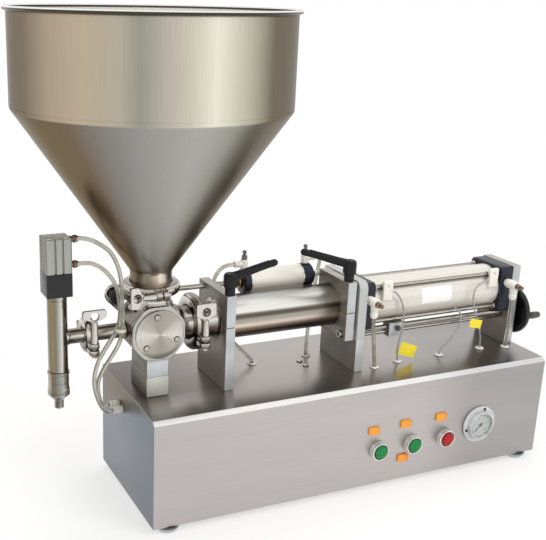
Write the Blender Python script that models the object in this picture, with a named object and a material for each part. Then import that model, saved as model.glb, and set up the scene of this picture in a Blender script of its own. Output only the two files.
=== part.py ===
"""Pneumatic piston filler on a stainless cabinet.

A hopper feeds a three-way rotary valve. A piston in the product cylinder draws
the product in and pushes it out to the nozzle. An air cylinder drives the
piston, a small one turns the valve, and a third opens the nozzle.

Places are measured from the front, left, lower corner of the cabinet, X to the
right, Y to the back, Z up. The empty filler_frame carries every piece and puts
the origin under the middle of the whole machine, at the height of the feet.
"""
from math import atan2, cos, hypot, pi, radians, sin

import bmesh
import bpy
from mathutils import Vector

MM = 0.001

# Clearances and general values
GAP = 0.3 * MM                 # between neighbours that touch on the real machine
OVERRUN = 1.0 * MM             # how far a cutter runs past the face it opens
MERGE = 0.001 * MM
WELD_DISTANCE = 0.02 * MM
BIG_SIDES = 48
TUBE_SIDES = 24
SMALL_SIDES = 16
TINY_SIDES = 10
ROUND_STEPS = 10                # steps of a half circle in an outline
CORNER_STEPS = 6
SMOOTH_ANGLE = radians(35.0)

# Cabinet
CABINET_WIDTH = 224.0 * MM
CABINET_HEIGHT = 165.0 * MM
CABINET_END_MARGIN = 5.0 * MM  # from the end plate to the right side
SHEET = 1.5 * MM
FOLD_RUN = 6.8 * MM
FOLD_DROP = 5.5 * MM
FOOT_HEIGHT = 10.0 * MM
FOOT_RADIUS = 17.5 * MM
FOOT_NECK_RADIUS = 15.0 * MM
FOOT_FLAT_RADIUS = 7.0 * MM
FOOT_DOME_RADIUS = 15.0 * MM
FOOT_DOME_DEPTH = 6.2 * MM
FOOT_INSET_X = 27.0 * MM
FOOT_INSET_Y = 19.0 * MM

# Front panel
PANEL_BUTTON_Z = 58.5 * MM
FIRST_BUTTON_X = 366.6 * MM
BUTTON_PITCH = 62.0 * MM
BUTTONS = 3
BUTTON_RADIUS = 11.7 * MM
BUTTON_PROUD = 1.5 * MM
BUTTON_TRAVEL = 3.0 * MM
BUTTON_STEM_RADIUS = 7.0 * MM
BUTTON_FLOOR = 1.5 * MM           # left under the head when it is pressed in
HOUSING_RADIUS = 15.0 * MM
HOUSING_PROUD = 11.0 * MM
HOUSING_NECK_RADIUS = 13.2 * MM
HOUSING_DEPTH = 20.0 * MM
GAUGE_X = 557.4 * MM
GAUGE_Z = 69.3 * MM
GAUGE_FLANGE_RADIUS = 30.5 * MM
GAUGE_FLANGE_THICK = 3.0 * MM
GAUGE_BEZEL_RADIUS = 22.5 * MM
GAUGE_DIAL_RADIUS = 20.0 * MM
GAUGE_PROUD = 10.0 * MM
GAUGE_DIAL_DEPTH = 5.5 * MM
GAUGE_CASE_RADIUS = 20.0 * MM
GAUGE_CASE_DEPTH = 28.0 * MM
NEEDLE_LENGTH = 15.0 * MM
NEEDLE_TAIL = 5.0 * MM
NEEDLE_WIDTH = 1.6 * MM
NEEDLE_THICK = 0.8 * MM
NEEDLE_HUB_RADIUS = 2.5 * MM
NEEDLE_HUB_LENGTH = 1.8 * MM
NEEDLE_ZERO = radians(225.0)    # clockwise from the top

# Places along the machine, from left to right
NOZZLE_X = -101.0 * MM
VALVE_X = 36.5 * MM
INLET_CLAMP_OFFSET = 65.0 * MM
OUTLET_CLAMP_OFFSET = 94.5 * MM
HOPPER_CLAMP_OFFSET = 61.5 * MM
FRONT_PLATE_OFFSET = 33.0 * MM  # from the inlet clamp to the front plate

# Tri-clamp joints
FERRULE_RADIUS = 36.0 * MM
FERRULE_THICK = 4.4 * MM
CLAMP_RADIUS = 42.0 * MM
CLAMP_WIDTH = 17.0 * MM
CLAMP_CLEARANCE = 0.8 * MM      # round the ferrules and necks, whose facets may not line up
SMALL_FERRULE_RADIUS = 21.5 * MM
SMALL_CLAMP_RADIUS = 26.0 * MM
SMALL_CLAMP_WIDTH = 16.0 * MM
CLAMP_BOLT_STANDOFF = 7.0 * MM
CLAMP_BOLT_RADIUS = 3.0 * MM
CLAMP_LUG_HALF = 9.0 * MM
CLAMP_LUG_SLOT = 2.0 * MM
CLAMP_LUG_REACH = 6.5 * MM
WING_HUB_RADIUS = 5.5 * MM
WING_THICK = 5.0 * MM
WING_WINDOW_RADIUS = 6.0 * MM
WING_NARROW = 8.0 * MM
WING_BOLT_REACH = 18.0 * MM
WING_OVERLAP = 2.0 * MM

# Distances along each clamp's bolt: middle of the lugs, start of the nut, ends of its wing
HOPPER_LUG = 2.0 * MM
HOPPER_HUB = HOPPER_LUG + CLAMP_LUG_HALF + GAP
HOPPER_FAN = (29.0 * MM, 48.0 * MM)
HOPPER_FAN_HALF = 15.5 * MM
INLET_LUG = -15.0 * MM
INLET_HUB = INLET_LUG + CLAMP_LUG_HALF + GAP
INLET_FAN = (17.0 * MM, 43.0 * MM)
INLET_FAN_HALF = 15.5 * MM
OUTLET_LUG = -11.0 * MM
OUTLET_HUB = OUTLET_LUG + CLAMP_LUG_HALF + GAP
OUTLET_FAN = (28.0 * MM, 46.0 * MM)
OUTLET_FAN_HALF = 17.0 * MM

# Three-way valve
PEDESTAL_LOWER_HEIGHT = 30.1 * MM
PEDESTAL_UPPER_HEIGHT = 26.3 * MM
PEDESTAL_WIDTH = 34.0 * MM
PEDESTAL_FRONT = 31.0 * MM
PEDESTAL_BACK = 35.0 * MM
PEDESTAL_STEP = 0.7 * MM
VALVE_HALF = 40.0 * MM
VALVE_CHAMFER_X = 21.0 * MM
VALVE_CHAMFER_Z = 25.0 * MM
VALVE_FRONT = 28.0 * MM
VALVE_BACK = 30.0 * MM
VALVE_REAR_WALL = 3.7 * MM
VALVE_FLANGE_RADIUS = 39.7 * MM
VALVE_FLANGE_THICK = 7.0 * MM
COVER_RADIUS = 36.0 * MM
COVER_THICK = 3.7 * MM
COVER_PLUG = 8.5 * MM
COVER_SCREW_CIRCLE = 27.0 * MM
COVER_SCREW_RADIUS = 4.2 * MM
COVER_SCREW_HEIGHT = 2.4 * MM
COVER_SCREWS = 3
COVER_SCREW_ANGLE = radians(100.0)
ROTOR_RADIUS = 28.0 * MM
ROTOR_PORT_RADIUS = 16.0 * MM
STEM_RADIUS = 8.0 * MM
VALVE_NECK_RADIUS = 28.0 * MM
VALVE_PORT_RADIUS = 19.5 * MM
INLET_NECK_RADIUS = 25.0 * MM
INLET_BORE_RADIUS = 22.0 * MM
PIPE_RADIUS = 10.8 * MM
PIPE_BORE_RADIUS = 8.8 * MM
PIPE_SOCKET_DEPTH = 6.0 * MM

# Crank and its air cylinder
CRANK_FRONT = 42.6 * MM
CRANK_THICK = 5.4 * MM
CRANK_HALF_WIDTH = 15.0 * MM
CRANK_SLOT_HALF = 7.25 * MM
CRANK_REACH = 39.0 * MM         # height of the rod's pin over the rotor's axis
CRANK_PIN_RADIUS = 3.5 * MM
CRANK_PIN_HEAD_RADIUS = 9.0 * MM
CRANK_PIN_HEAD_THICK = 2.0 * MM
ACTUATOR_BEHIND = 38.0 * MM
ACTUATOR_ROD_RADIUS = 4.0 * MM
ACTUATOR_EYE_RADIUS = 7.5 * MM
ACTUATOR_NUT_X = 190.0 * MM
ACTUATOR_NUT_RADIUS = 10.5 * MM
ACTUATOR_NUT_LENGTH = 7.0 * MM
ACTUATOR_CAP_RADIUS = 19.0 * MM
ACTUATOR_CAP_LENGTH = 18.0 * MM
ACTUATOR_TUBE_RADIUS = 18.2 * MM
ACTUATOR_TUBE_LENGTH = 85.0 * MM
ACTUATOR_BORE_RADIUS = 15.0 * MM
ACTUATOR_END_WALL = 12.0 * MM
ACTUATOR_PISTON_THICK = 8.0 * MM
SPEED_VALVE_RADIUS = 6.5 * MM
SPEED_VALVE_HEIGHT = 16.0 * MM
SPEED_PORT_RADIUS = 5.0 * MM
SPEED_PORT_REACH = 17.0 * MM
SPEED_PORT_HEIGHT = 9.0 * MM
SPEED_VALVE_INSET = 6.0 * MM

# Flow knobs
KNOB_RADIUS = 4.6 * MM
KNOB_WAIST_RADIUS = 2.4 * MM
KNOB_TOP_RADIUS = 3.4 * MM
KNOB_BODY_LENGTH = 6.0 * MM
KNOB_WAIST_LENGTH = 3.0 * MM
KNOB_TOP_LENGTH = 5.0 * MM
KNOB_STEM_RADIUS = 1.8 * MM
KNOB_STEM_LENGTH = 7.0 * MM

# Product cylinder and its plates
PLATE_THICK = 14.5 * MM
PLATE_HEIGHT = 145.0 * MM
FRONT_PLATE_FRONT = 48.4 * MM
FRONT_PLATE_BACK = 50.0 * MM
REAR_PLATE_FRONT = 52.0 * MM
REAR_PLATE_BACK = 33.0 * MM
REAR_PLATE_HEIGHT = 92.0 * MM
REAR_PLATE_INSET = 2.0 * MM
CYLINDER_PLATE_FRONT = 54.0 * MM
CYLINDER_PLATE_BACK = 48.0 * MM
CYLINDER_PLATE_SPACE = 3.0 * MM
PLATE_CORNER_RADIUS = 12.0 * MM
SLIT = 1.2 * MM
SPACER_RADIUS = 5.0 * MM
SPACER_HEAD = 4.0 * MM
SPACER_INSET_Y = 12.0 * MM
SPACER_INSET_Z = 8.0 * MM
BARREL_LENGTH = 215.5 * MM
BARREL_RADIUS = 32.5 * MM
BARREL_BORE_RADIUS = 30.0 * MM
BARREL_HEAD_WALL = 3.5 * MM
PISTON_THICK = 14.0 * MM
PISTON_SOCKET = 6.0 * MM
SEAL_GROOVE_DEPTH = 1.2 * MM
SEAL_GROOVE_WIDTH = 2.2 * MM
SEAL_SHARES = (0.25, 0.75)      # places of the grooves along the piston
PISTON_ROD_RADIUS = 8.0 * MM

# Drive cylinder
DRIVE_CAP_SIZE = 77.0 * MM
DRIVE_CAP_CHAMFER = 5.0 * MM
DRIVE_FRONT_CAP_LENGTH = 25.2 * MM
DRIVE_REAR_CAP_LENGTH = 23.7 * MM
DRIVE_TUBE_LENGTH = 242.4 * MM
DRIVE_TUBE_RADIUS = 35.0 * MM
DRIVE_BORE_RADIUS = 31.5 * MM
DRIVE_PISTON_THICK = 16.0 * MM
TIE_ROD_OFFSET = 28.0 * MM
TIE_ROD_RADIUS = 3.5 * MM
SENSOR_LENGTH = 21.0 * MM
SENSOR_HEIGHT = 32.0 * MM
SENSOR_FRONT_OFFSET = 12.0 * MM  # from the front cap to the sensor
SENSOR_REAR_OFFSET = 5.0 * MM
SENSOR_DEPTH = 11.0 * MM
SENSOR_STANDOFF = 39.0 * MM
SENSOR_RISE = 7.0 * MM
ELBOW_RADIUS = 7.5 * MM
ELBOW_REACH = 23.0 * MM
ELBOW_RISE = 13.0 * MM
ELBOW_PORT_RADIUS = 6.0 * MM
ELBOW_DROP = 24.0 * MM
ELBOW_PORT_INSET = 6.5 * MM

# End plate and adjusting gear
END_PLATE_THICK = 15.0 * MM
END_PLATE_HEIGHT = 136.0 * MM
END_PLATE_WIDTH = 74.0 * MM
SCREW_AHEAD = 20.0 * MM
SCREW_RISE = 54.0 * MM
SCREW_RADIUS = 4.0 * MM
GUIDE_AHEAD = 21.5 * MM
GUIDE_RISE = 46.6 * MM
GUIDE_RADIUS = 2.7 * MM
ROD_SOCKET = 8.0 * MM
SLIDER_OFFSET = 60.5 * MM       # from the cylinder plate to the slider
SLIDER_LENGTH = 28.0 * MM
SLIDER_FRONT = 32.0 * MM
SLIDER_DEPTH = 18.0 * MM
SLIDER_RISE = 41.0 * MM
SLIDER_HEIGHT = 22.0 * MM
WHEEL_RADIUS = 40.0 * MM
WHEEL_RIM = 6.0 * MM
WHEEL_WIDTH = 9.0 * MM
WHEEL_HUB_RADIUS = 9.0 * MM
WHEEL_HUB_LENGTH = 14.0 * MM
WHEEL_WEB = 3.0 * MM
WHEEL_STANDOFF = 4.0 * MM
HANDLE_RADIUS = 6.0 * MM
HANDLE_LENGTH = 22.5 * MM
HANDLE_PIN_RADIUS = 2.6 * MM
HANDLE_END_WALL = 2.0 * MM
HANDLE_CIRCLE = 34.0 * MM
HANDLE_ANGLE = radians(183.0)

# Clamping levers
LEVER_FRONT_INSET = 7.4 * MM    # from the plate's front edge to the stud
LEVER_REAR_INSET = 12.0 * MM
LEVER_STUD_RADIUS = 3.6 * MM
LEVER_STUD_LENGTH = 58.0 * MM
LEVER_FOOT_RADIUS = 7.5 * MM
LEVER_FOOT_HEIGHT = 11.7 * MM
LEVER_HUB_RADIUS = 10.0 * MM
LEVER_HUB_HEIGHT = 17.5 * MM
LEVER_LENGTH = 75.0 * MM
LEVER_RISE = 14.0 * MM
LEVER_GRIP_ROOT_RADIUS = 4.6 * MM
LEVER_GRIP_TIP_RADIUS = 6.2 * MM
LEVER_REAR_ANGLE = radians(150.0)

# Hopper
HOPPER_RADIUS = 190.0 * MM
HOPPER_WALL = 2.0 * MM
HOPPER_NECK_RADIUS = 29.8 * MM
HOPPER_NECK_LENGTH = 24.5 * MM   # up from the middle of its clamp
HOPPER_CONE_HEIGHT = 225.0 * MM
HOPPER_DRUM_HEIGHT = 129.7 * MM
HOPPER_RIM_WIDTH = 5.3 * MM
HOPPER_RIM_HEIGHT = 5.4 * MM

# Nozzle
NOZZLE_RADIUS = 14.0 * MM
NOZZLE_BORE_RADIUS = 11.0 * MM
NOZZLE_DROP = 48.0 * MM         # below the valve's axis
NOZZLE_RISE = 63.0 * MM         # above it
NOZZLE_TOP_WALL = 7.0 * MM
COUPLING_LENGTH = 31.0 * MM
COUPLING_RADIUS = 15.6 * MM
COUPLING_WAIST_RADIUS = 14.6 * MM
COUPLING_BORE_RADIUS = 9.3 * MM
COUPLING_RING = 5.0 * MM
TIP_LENGTH = 25.0 * MM
TIP_RADIUS = 6.8 * MM
TIP_BORE_RADIUS = 4.5 * MM
TIP_SPOUT_LENGTH = 12.0 * MM
TIP_COLLAR = 4.0 * MM
SEAT_LOW = 13.5 * MM            # from the tip's mouth to the seat's lower edge
SEAT_HEIGHT = 8.0 * MM
NOZZLE_BLOCK = 36.0 * MM
ADAPTER_HEIGHT = 33.0 * MM
NOZZLE_ACTUATOR_HEIGHT = 48.0 * MM
NOZZLE_SLOT_WIDTH = 7.0 * MM
NOZZLE_SLOT_DEPTH = 2.2 * MM
NOZZLE_CYLINDER_RADIUS = 12.5 * MM
NOZZLE_CYLINDER_WALL = 5.0 * MM
NOZZLE_STEM_RADIUS = 4.0 * MM
NOZZLE_PISTON_THICK = 8.0 * MM
NOZZLE_PLUG_RADIUS = 8.4 * MM
NOZZLE_PLUG_LENGTH = 6.0 * MM
PUSH_FITTING_RADIUS = 4.8 * MM
PUSH_FITTING_LENGTH = 11.0 * MM
PUSH_FITTING_INSET = 5.0 * MM

# Hoses
HOSE_RADIUS = 3.0 * MM
HOSE_STEP = 12.0 * MM
HOSE_RESOLUTION = 2
CURVE_PARTS = 12
HOSE_HOLE_MARGIN = 1.2 * MM      # room for the grommet round a hose
HOSE_LEAD = 5.0 * MM            # straight run out of a fitting
HOSE_TAIL = 14.0 * MM           # how far a hose reaches into the cabinet
SIDE_FITTING_RADIUS = 5.5 * MM
SIDE_FITTING_LENGTH = 14.0 * MM
SIDE_FITTING_A = (33.0 * MM, 32.0 * MM)  # behind the centre line and down from the top
SIDE_FITTING_B = (18.0 * MM, 35.0 * MM)
# Each hole's place: right of the fitting its hose comes from, and behind the centre line
HOSE_HOLE_ACTUATOR_FRONT = (17.0 * MM, 32.5 * MM)
HOSE_HOLE_ACTUATOR_REAR = (8.95 * MM, 33.2 * MM)
HOSE_HOLE_DRIVE_FRONT = (13.6 * MM, -48.0 * MM)
HOSE_HOLE_DRIVE_REAR = (4.15 * MM, -48.0 * MM)

# Places worked out from the sizes above
AXIS_Y = CABINET_WIDTH / 2      # centre line of the machine
PEDESTAL_FRONT_Y = AXIS_Y - PEDESTAL_FRONT
PEDESTAL_BACK_Y = AXIS_Y + PEDESTAL_BACK
VALVE_FRONT_Y = AXIS_Y - VALVE_FRONT
VALVE_BACK_Y = AXIS_Y + VALVE_BACK
CRANK_FRONT_Y = AXIS_Y + CRANK_FRONT
ACTUATOR_Y = AXIS_Y + ACTUATOR_BEHIND
FRONT_PLATE_FRONT_Y = AXIS_Y - FRONT_PLATE_FRONT
FRONT_PLATE_BACK_Y = AXIS_Y + FRONT_PLATE_BACK
REAR_PLATE_FRONT_Y = AXIS_Y - REAR_PLATE_FRONT
REAR_PLATE_BACK_Y = AXIS_Y + REAR_PLATE_BACK
CYLINDER_PLATE_FRONT_Y = AXIS_Y - CYLINDER_PLATE_FRONT
CYLINDER_PLATE_BACK_Y = AXIS_Y + CYLINDER_PLATE_BACK
SCREW_Y = AXIS_Y - SCREW_AHEAD
GUIDE_Y = AXIS_Y - GUIDE_AHEAD
SLIDER_FRONT_Y = AXIS_Y - SLIDER_FRONT
SCREW_Z = CABINET_HEIGHT + SCREW_RISE
GUIDE_Z = CABINET_HEIGHT + GUIDE_RISE
SLIDER_LOW_Z = CABINET_HEIGHT + SLIDER_RISE
PEDESTAL_HEIGHT = PEDESTAL_LOWER_HEIGHT + PEDESTAL_UPPER_HEIGHT
VALVE_Z = CABINET_HEIGHT + GAP + PEDESTAL_HEIGHT + GAP + VALVE_HALF
HOPPER_CLAMP_Z = VALVE_Z + HOPPER_CLAMP_OFFSET
HOPPER_NECK_TOP_Z = HOPPER_CLAMP_Z + HOPPER_NECK_LENGTH
HOPPER_CONE_TOP_Z = HOPPER_NECK_TOP_Z + HOPPER_CONE_HEIGHT
HOPPER_TOP_Z = HOPPER_CONE_TOP_Z + HOPPER_DRUM_HEIGHT
NOZZLE_LOW_Z = VALVE_Z - NOZZLE_DROP
NOZZLE_TOP_Z = VALVE_Z + NOZZLE_RISE
INLET_CLAMP_X = VALVE_X + INLET_CLAMP_OFFSET
OUTLET_CLAMP_X = VALVE_X - OUTLET_CLAMP_OFFSET
FRONT_PLATE_X = INLET_CLAMP_X + FRONT_PLATE_OFFSET
BARREL_END_X = FRONT_PLATE_X + BARREL_LENGTH
REAR_PLATE_X = BARREL_END_X - REAR_PLATE_INSET - PLATE_THICK
CYLINDER_PLATE_X = BARREL_END_X + CYLINDER_PLATE_SPACE
CYLINDER_PLATE_END_X = CYLINDER_PLATE_X + PLATE_THICK
FRONT_CAP_X = CYLINDER_PLATE_END_X + GAP
FRONT_CAP_END_X = FRONT_CAP_X + DRIVE_FRONT_CAP_LENGTH
DRIVE_TUBE_X = FRONT_CAP_END_X + GAP
DRIVE_TUBE_END_X = DRIVE_TUBE_X + DRIVE_TUBE_LENGTH
REAR_CAP_X = DRIVE_TUBE_END_X + GAP
REAR_CAP_END_X = REAR_CAP_X + DRIVE_REAR_CAP_LENGTH
END_PLATE_X = REAR_CAP_END_X + GAP
END_PLATE_END_X = END_PLATE_X + END_PLATE_THICK
CABINET_LENGTH = END_PLATE_END_X + CABINET_END_MARGIN
PLATE_FOOT_Z = CABINET_HEIGHT + GAP
PLATE_TOP_Z = CABINET_HEIGHT + PLATE_HEIGHT
ACTUATOR_Z = VALVE_Z + CRANK_REACH
PIN_REST_X = VALVE_X - CRANK_REACH
ACTUATOR_FRONT_CAP_X = ACTUATOR_NUT_X + ACTUATOR_NUT_LENGTH
ACTUATOR_TUBE_X = ACTUATOR_FRONT_CAP_X + ACTUATOR_CAP_LENGTH
ACTUATOR_REAR_CAP_X = ACTUATOR_TUBE_X + ACTUATOR_TUBE_LENGTH
ACTUATOR_END_X = ACTUATOR_REAR_CAP_X + ACTUATOR_CAP_LENGTH
SPEED_FRONT_X = ACTUATOR_FRONT_CAP_X + SPEED_VALVE_INSET
SPEED_REAR_X = ACTUATOR_END_X - SPEED_VALVE_INSET - SPEED_VALVE_RADIUS / 2
SPEED_LOW_Z = ACTUATOR_Z + ACTUATOR_CAP_RADIUS + GAP
WHEEL_X = END_PLATE_END_X + GAP
RIM_X = WHEEL_X + WHEEL_STANDOFF
RIM_END_X = RIM_X + WHEEL_WIDTH
HANDLE_X = RIM_END_X + 2 * GAP
HANDLE_END_X = HANDLE_X + HANDLE_LENGTH
HANDLE_Y = SCREW_Y + HANDLE_CIRCLE * cos(HANDLE_ANGLE)
HANDLE_Z = SCREW_Z + HANDLE_CIRCLE * sin(HANDLE_ANGLE)
HOPPER_RIM_RADIUS = HOPPER_RADIUS + HOPPER_RIM_WIDTH
COUPLING_LOW_Z = NOZZLE_LOW_Z - GAP - COUPLING_LENGTH
TIP_TOP_Z = COUPLING_LOW_Z - GAP
TIP_LOW_Z = TIP_TOP_Z - TIP_LENGTH
ADAPTER_LOW_Z = NOZZLE_TOP_Z + GAP
ADAPTER_TOP_Z = ADAPTER_LOW_Z + ADAPTER_HEIGHT
NOZZLE_ACTUATOR_LOW_Z = ADAPTER_TOP_Z + GAP
NOZZLE_ACTUATOR_TOP_Z = NOZZLE_ACTUATOR_LOW_Z + NOZZLE_ACTUATOR_HEIGHT
DRIVE_CAP_FRONT_Y = AXIS_Y - DRIVE_CAP_SIZE / 2
ELBOW_FRONT_X = FRONT_CAP_X + DRIVE_FRONT_CAP_LENGTH / 2
ELBOW_REAR_X = REAR_CAP_X + DRIVE_REAR_CAP_LENGTH / 2
ELBOW_Z = VALVE_Z + ELBOW_RISE
ELBOW_FRONT_Y = DRIVE_CAP_FRONT_Y - GAP - ELBOW_REACH
ELBOW_PORT_Y = ELBOW_FRONT_Y + ELBOW_PORT_INSET
ELBOW_PORT_Z = ELBOW_Z - ELBOW_DROP
ORIGIN_X = (VALVE_X - HOPPER_RIM_RADIUS + HANDLE_END_X) / 2


def clear_scene():
    for old in list(bpy.data.objects):
        bpy.data.objects.remove(old, do_unlink=True)


def make_frame():
    frame = bpy.data.objects.new("filler_frame", None)
    frame.location = (-ORIGIN_X, -AXIS_Y, FOOT_HEIGHT)
    bpy.context.scene.collection.objects.link(frame)
    return frame


def make_look(name, colour, roughness, metallic):
    look = bpy.data.materials.new(name)
    look.use_nodes = True
    shader = look.node_tree.nodes["Principled BSDF"]
    shader.inputs["Base Color"].default_value = (*colour, 1.0)
    shader.inputs["Roughness"].default_value = roughness
    shader.inputs["Metallic"].default_value = metallic
    look.diffuse_color = (*colour, 1.0)
    return look


clear_scene()
FRAME = make_frame()
LOOKS = {
    "brushed": make_look("brushed_stainless", (0.50, 0.49, 0.47), 0.34, 1.0),
    "hopper": make_look("spun_stainless", (0.47, 0.45, 0.43), 0.42, 1.0),
    "polished": make_look("polished_stainless", (0.72, 0.71, 0.69), 0.14, 1.0),
    "plate": make_look("bead_blasted_aluminium", (0.58, 0.59, 0.60), 0.45, 1.0),
    "tube": make_look("anodised_tube", (0.80, 0.79, 0.76), 0.30, 0.9),
    "white": make_look("white_plastic", (0.82, 0.82, 0.80), 0.40, 0.0),
    "black": make_look("black_plastic", (0.02, 0.02, 0.022), 0.42, 0.0),
    "dark": make_look("black_anodised", (0.03, 0.033, 0.045), 0.36, 0.4),
    "brass": make_look("nickelled_brass", (0.66, 0.55, 0.40), 0.28, 1.0),
    "green": make_look("green_lens", (0.03, 0.42, 0.16), 0.22, 0.0),
    "red": make_look("red_lens", (0.60, 0.03, 0.03), 0.22, 0.0),
    "hose": make_look("natural_hose", (0.62, 0.61, 0.56), 0.35, 0.0),
    "seal": make_look("white_ptfe", (0.86, 0.86, 0.84), 0.45, 0.0),
}


def place_piece(name, bm, look, place):
    """Turn a finished bmesh into an object; one without a look is a helper shape."""
    bmesh.ops.remove_doubles(bm, verts=bm.verts, dist=MERGE)
    bmesh.ops.recalc_face_normals(bm, faces=bm.faces)
    mesh = bpy.data.meshes.new(name)
    bm.to_mesh(mesh)
    bm.free()
    piece = bpy.data.objects.new(name, mesh)
    bpy.context.scene.collection.objects.link(piece)
    piece.parent = FRAME
    piece.location = place
    if look is None:
        piece.hide_render = True
        piece.display_type = "WIRE"
    else:
        mesh.materials.append(LOOKS[look])
    return piece


def along(axis, a, b, t):
    """A point with plane values a and b, and t along the axis."""
    return {"X": (t, a, b), "Y": (a, t, b), "Z": (a, b, t)}[axis]


def turned(name, outline, axis, place, look=None, sides=TUBE_SIDES):
    """Spin (radius, distance) points about an axis through the place."""
    bm = bmesh.new()
    points = [bm.verts.new(along(axis, r, 0, t)) for r, t in outline]
    closed = any(r > 0 for r, t in (outline[0], outline[-1]))
    pairs = list(zip(points, points[1:]))
    if closed:
        pairs.append((points[-1], points[0]))
    radii = {point: r for point, (r, t) in zip(points, outline)}
    edges = [bm.edges.new((a, b)) for a, b in pairs if radii[a] > 0 or radii[b] > 0]
    direction = {"X": (1, 0, 0), "Y": (0, 1, 0), "Z": (0, 0, 1)}[axis]
    bmesh.ops.spin(bm, geom=points + edges, cent=(0, 0, 0), axis=direction,
                   angle=2 * pi, steps=sides, use_merge=True)
    piece = place_piece(name, bm, look, place)
    piece.data.shade_smooth()
    piece.data.set_sharp_from_angle(angle=SMOOTH_ANGLE)
    return piece


def rod(name, radius, low, high, axis, place, look=None, sides=SMALL_SIDES):
    return turned(name, [(0, low), (radius, low), (radius, high), (0, high)],
                  axis, place, look, sides)


def prism(name, outline, low, high, axis, place, look=None):
    """Extrude a flat outline from low to high along an axis."""
    bm = bmesh.new()
    face = bm.faces.new([bm.verts.new(along(axis, a, b, low)) for a, b in outline])
    moved = bmesh.ops.extrude_face_region(bm, geom=[face])
    top = [item for item in moved["geom"] if isinstance(item, bmesh.types.BMVert)]
    bmesh.ops.translate(bm, verts=top, vec=along(axis, 0, 0, high - low))
    return place_piece(name, bm, look, place)


def box(name, low, high, look=None):
    """A block between two corners, with its origin at the lower one."""
    size = [b - a for a, b in zip(low, high)]
    outline = [(0, 0), (size[0], 0), (size[0], size[1]), (0, size[1])]
    return prism(name, outline, 0, size[2], "Z", low, look)


def combine(piece, other, operation):
    other.hide_render = True
    other.display_type = "WIRE"
    step = piece.modifiers.new(other.name, "BOOLEAN")
    step.operation = operation
    step.solver = "EXACT"
    step.object = other
    return piece


def cut(piece, *others):
    for other in others:
        combine(piece, other, "DIFFERENCE")
    return piece


def fuse(piece, *others):
    for other in others:
        combine(piece, other, "UNION")
    return piece


def weld(piece):
    """Close the hairline cracks that a long row of cuts can leave."""
    step = piece.modifiers.new("weld", "WELD")
    step.merge_threshold = WELD_DISTANCE
    return piece


def stadium(start, end, radius):
    """Outline of a slot or arm with round ends between two points."""
    turn = atan2(end[1] - start[1], end[0] - start[0])
    outline = []
    for centre, first in ((end, turn - pi / 2), (start, turn + pi / 2)):
        for step in range(ROUND_STEPS + 1):
            angle = first + pi * step / ROUND_STEPS
            outline.append((centre[0] + radius * cos(angle), centre[1] + radius * sin(angle)))
    return outline


# Cabinet

def button_xs():
    return [FIRST_BUTTON_X + BUTTON_PITCH * number for number in range(BUTTONS)]


def cabinet_profile(inset, low):
    """Side view of the folded sheet, moved inwards by inset, from low upwards."""
    top = CABINET_HEIGHT - inset
    fold = inset * FOLD_DROP / (FOLD_RUN + FOLD_DROP)
    return [
        (inset, low),
        (CABINET_WIDTH - inset, low),
        (CABINET_WIDTH - inset, top),
        (FOLD_RUN + fold, top),
        (inset, CABINET_HEIGHT - FOLD_DROP - fold),
    ]


def button_housing(number, x):
    outline = [
        (BUTTON_RADIUS + GAP, -HOUSING_PROUD),
        (HOUSING_RADIUS, -HOUSING_PROUD),
        (HOUSING_RADIUS, SHEET / 2),
        (HOUSING_NECK_RADIUS, SHEET / 2),
        (HOUSING_NECK_RADIUS, HOUSING_DEPTH),
        (BUTTON_STEM_RADIUS + GAP, HOUSING_DEPTH),
        (BUTTON_STEM_RADIUS + GAP, 0),
        (BUTTON_RADIUS + GAP, 0),
    ]
    return turned(f"housing_{number}", outline, "Y", (x, 0, PANEL_BUTTON_Z), sides=SMALL_SIDES)


def hose_hole_place(fitting_x, hole):
    return fitting_x + hole[0], AXIS_Y + hole[1]


def hose_holes():
    return [hose_hole_place(x, hole) for x, hole in (
        (SPEED_FRONT_X, HOSE_HOLE_ACTUATOR_FRONT), (SPEED_REAR_X, HOSE_HOLE_ACTUATOR_REAR),
        (ELBOW_FRONT_X, HOSE_HOLE_DRIVE_FRONT), (ELBOW_REAR_X, HOSE_HOLE_DRIVE_REAR))]


def side_fitting_place(fitting):
    return AXIS_Y + fitting[0], CABINET_HEIGHT - fitting[1]


def make_cabinet():
    shell = prism("cabinet_shell", cabinet_profile(0, 0), 0, CABINET_LENGTH, "X",
                  (0, 0, 0), "brushed")
    hollow = prism("cabinet_hollow", cabinet_profile(SHEET, -OVERRUN), SHEET,
                   CABINET_LENGTH - SHEET, "X", (0, 0, 0))
    cut(shell, hollow)
    for number, x in enumerate(button_xs()):
        hole = rod(f"button_hole_{number}", HOUSING_NECK_RADIUS - GAP, -OVERRUN,
                   SHEET + OVERRUN, "Y", (x, 0, PANEL_BUTTON_Z))
        fuse(cut(shell, hole), button_housing(number, x))
    cut(shell, rod("gauge_hole", GAUGE_CASE_RADIUS + GAP, -OVERRUN, SHEET + OVERRUN, "Y",
                   (GAUGE_X, 0, GAUGE_Z), sides=TUBE_SIDES))
    for number, (x, y) in enumerate(hose_holes()):
        cut(shell, rod(f"hose_hole_{number}", HOSE_RADIUS + HOSE_HOLE_MARGIN,
                       -SHEET - OVERRUN, OVERRUN, "Z", (x, y, CABINET_HEIGHT),
                       sides=TINY_SIDES))
    for number, fitting in enumerate((SIDE_FITTING_A, SIDE_FITTING_B)):
        y, z = side_fitting_place(fitting)
        fuse(shell, rod(f"side_fitting_{number}", SIDE_FITTING_RADIUS, -SIDE_FITTING_LENGTH,
                        SHEET / 2, "X", (0, y, z), sides=TINY_SIDES))
    return weld(shell)


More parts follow.
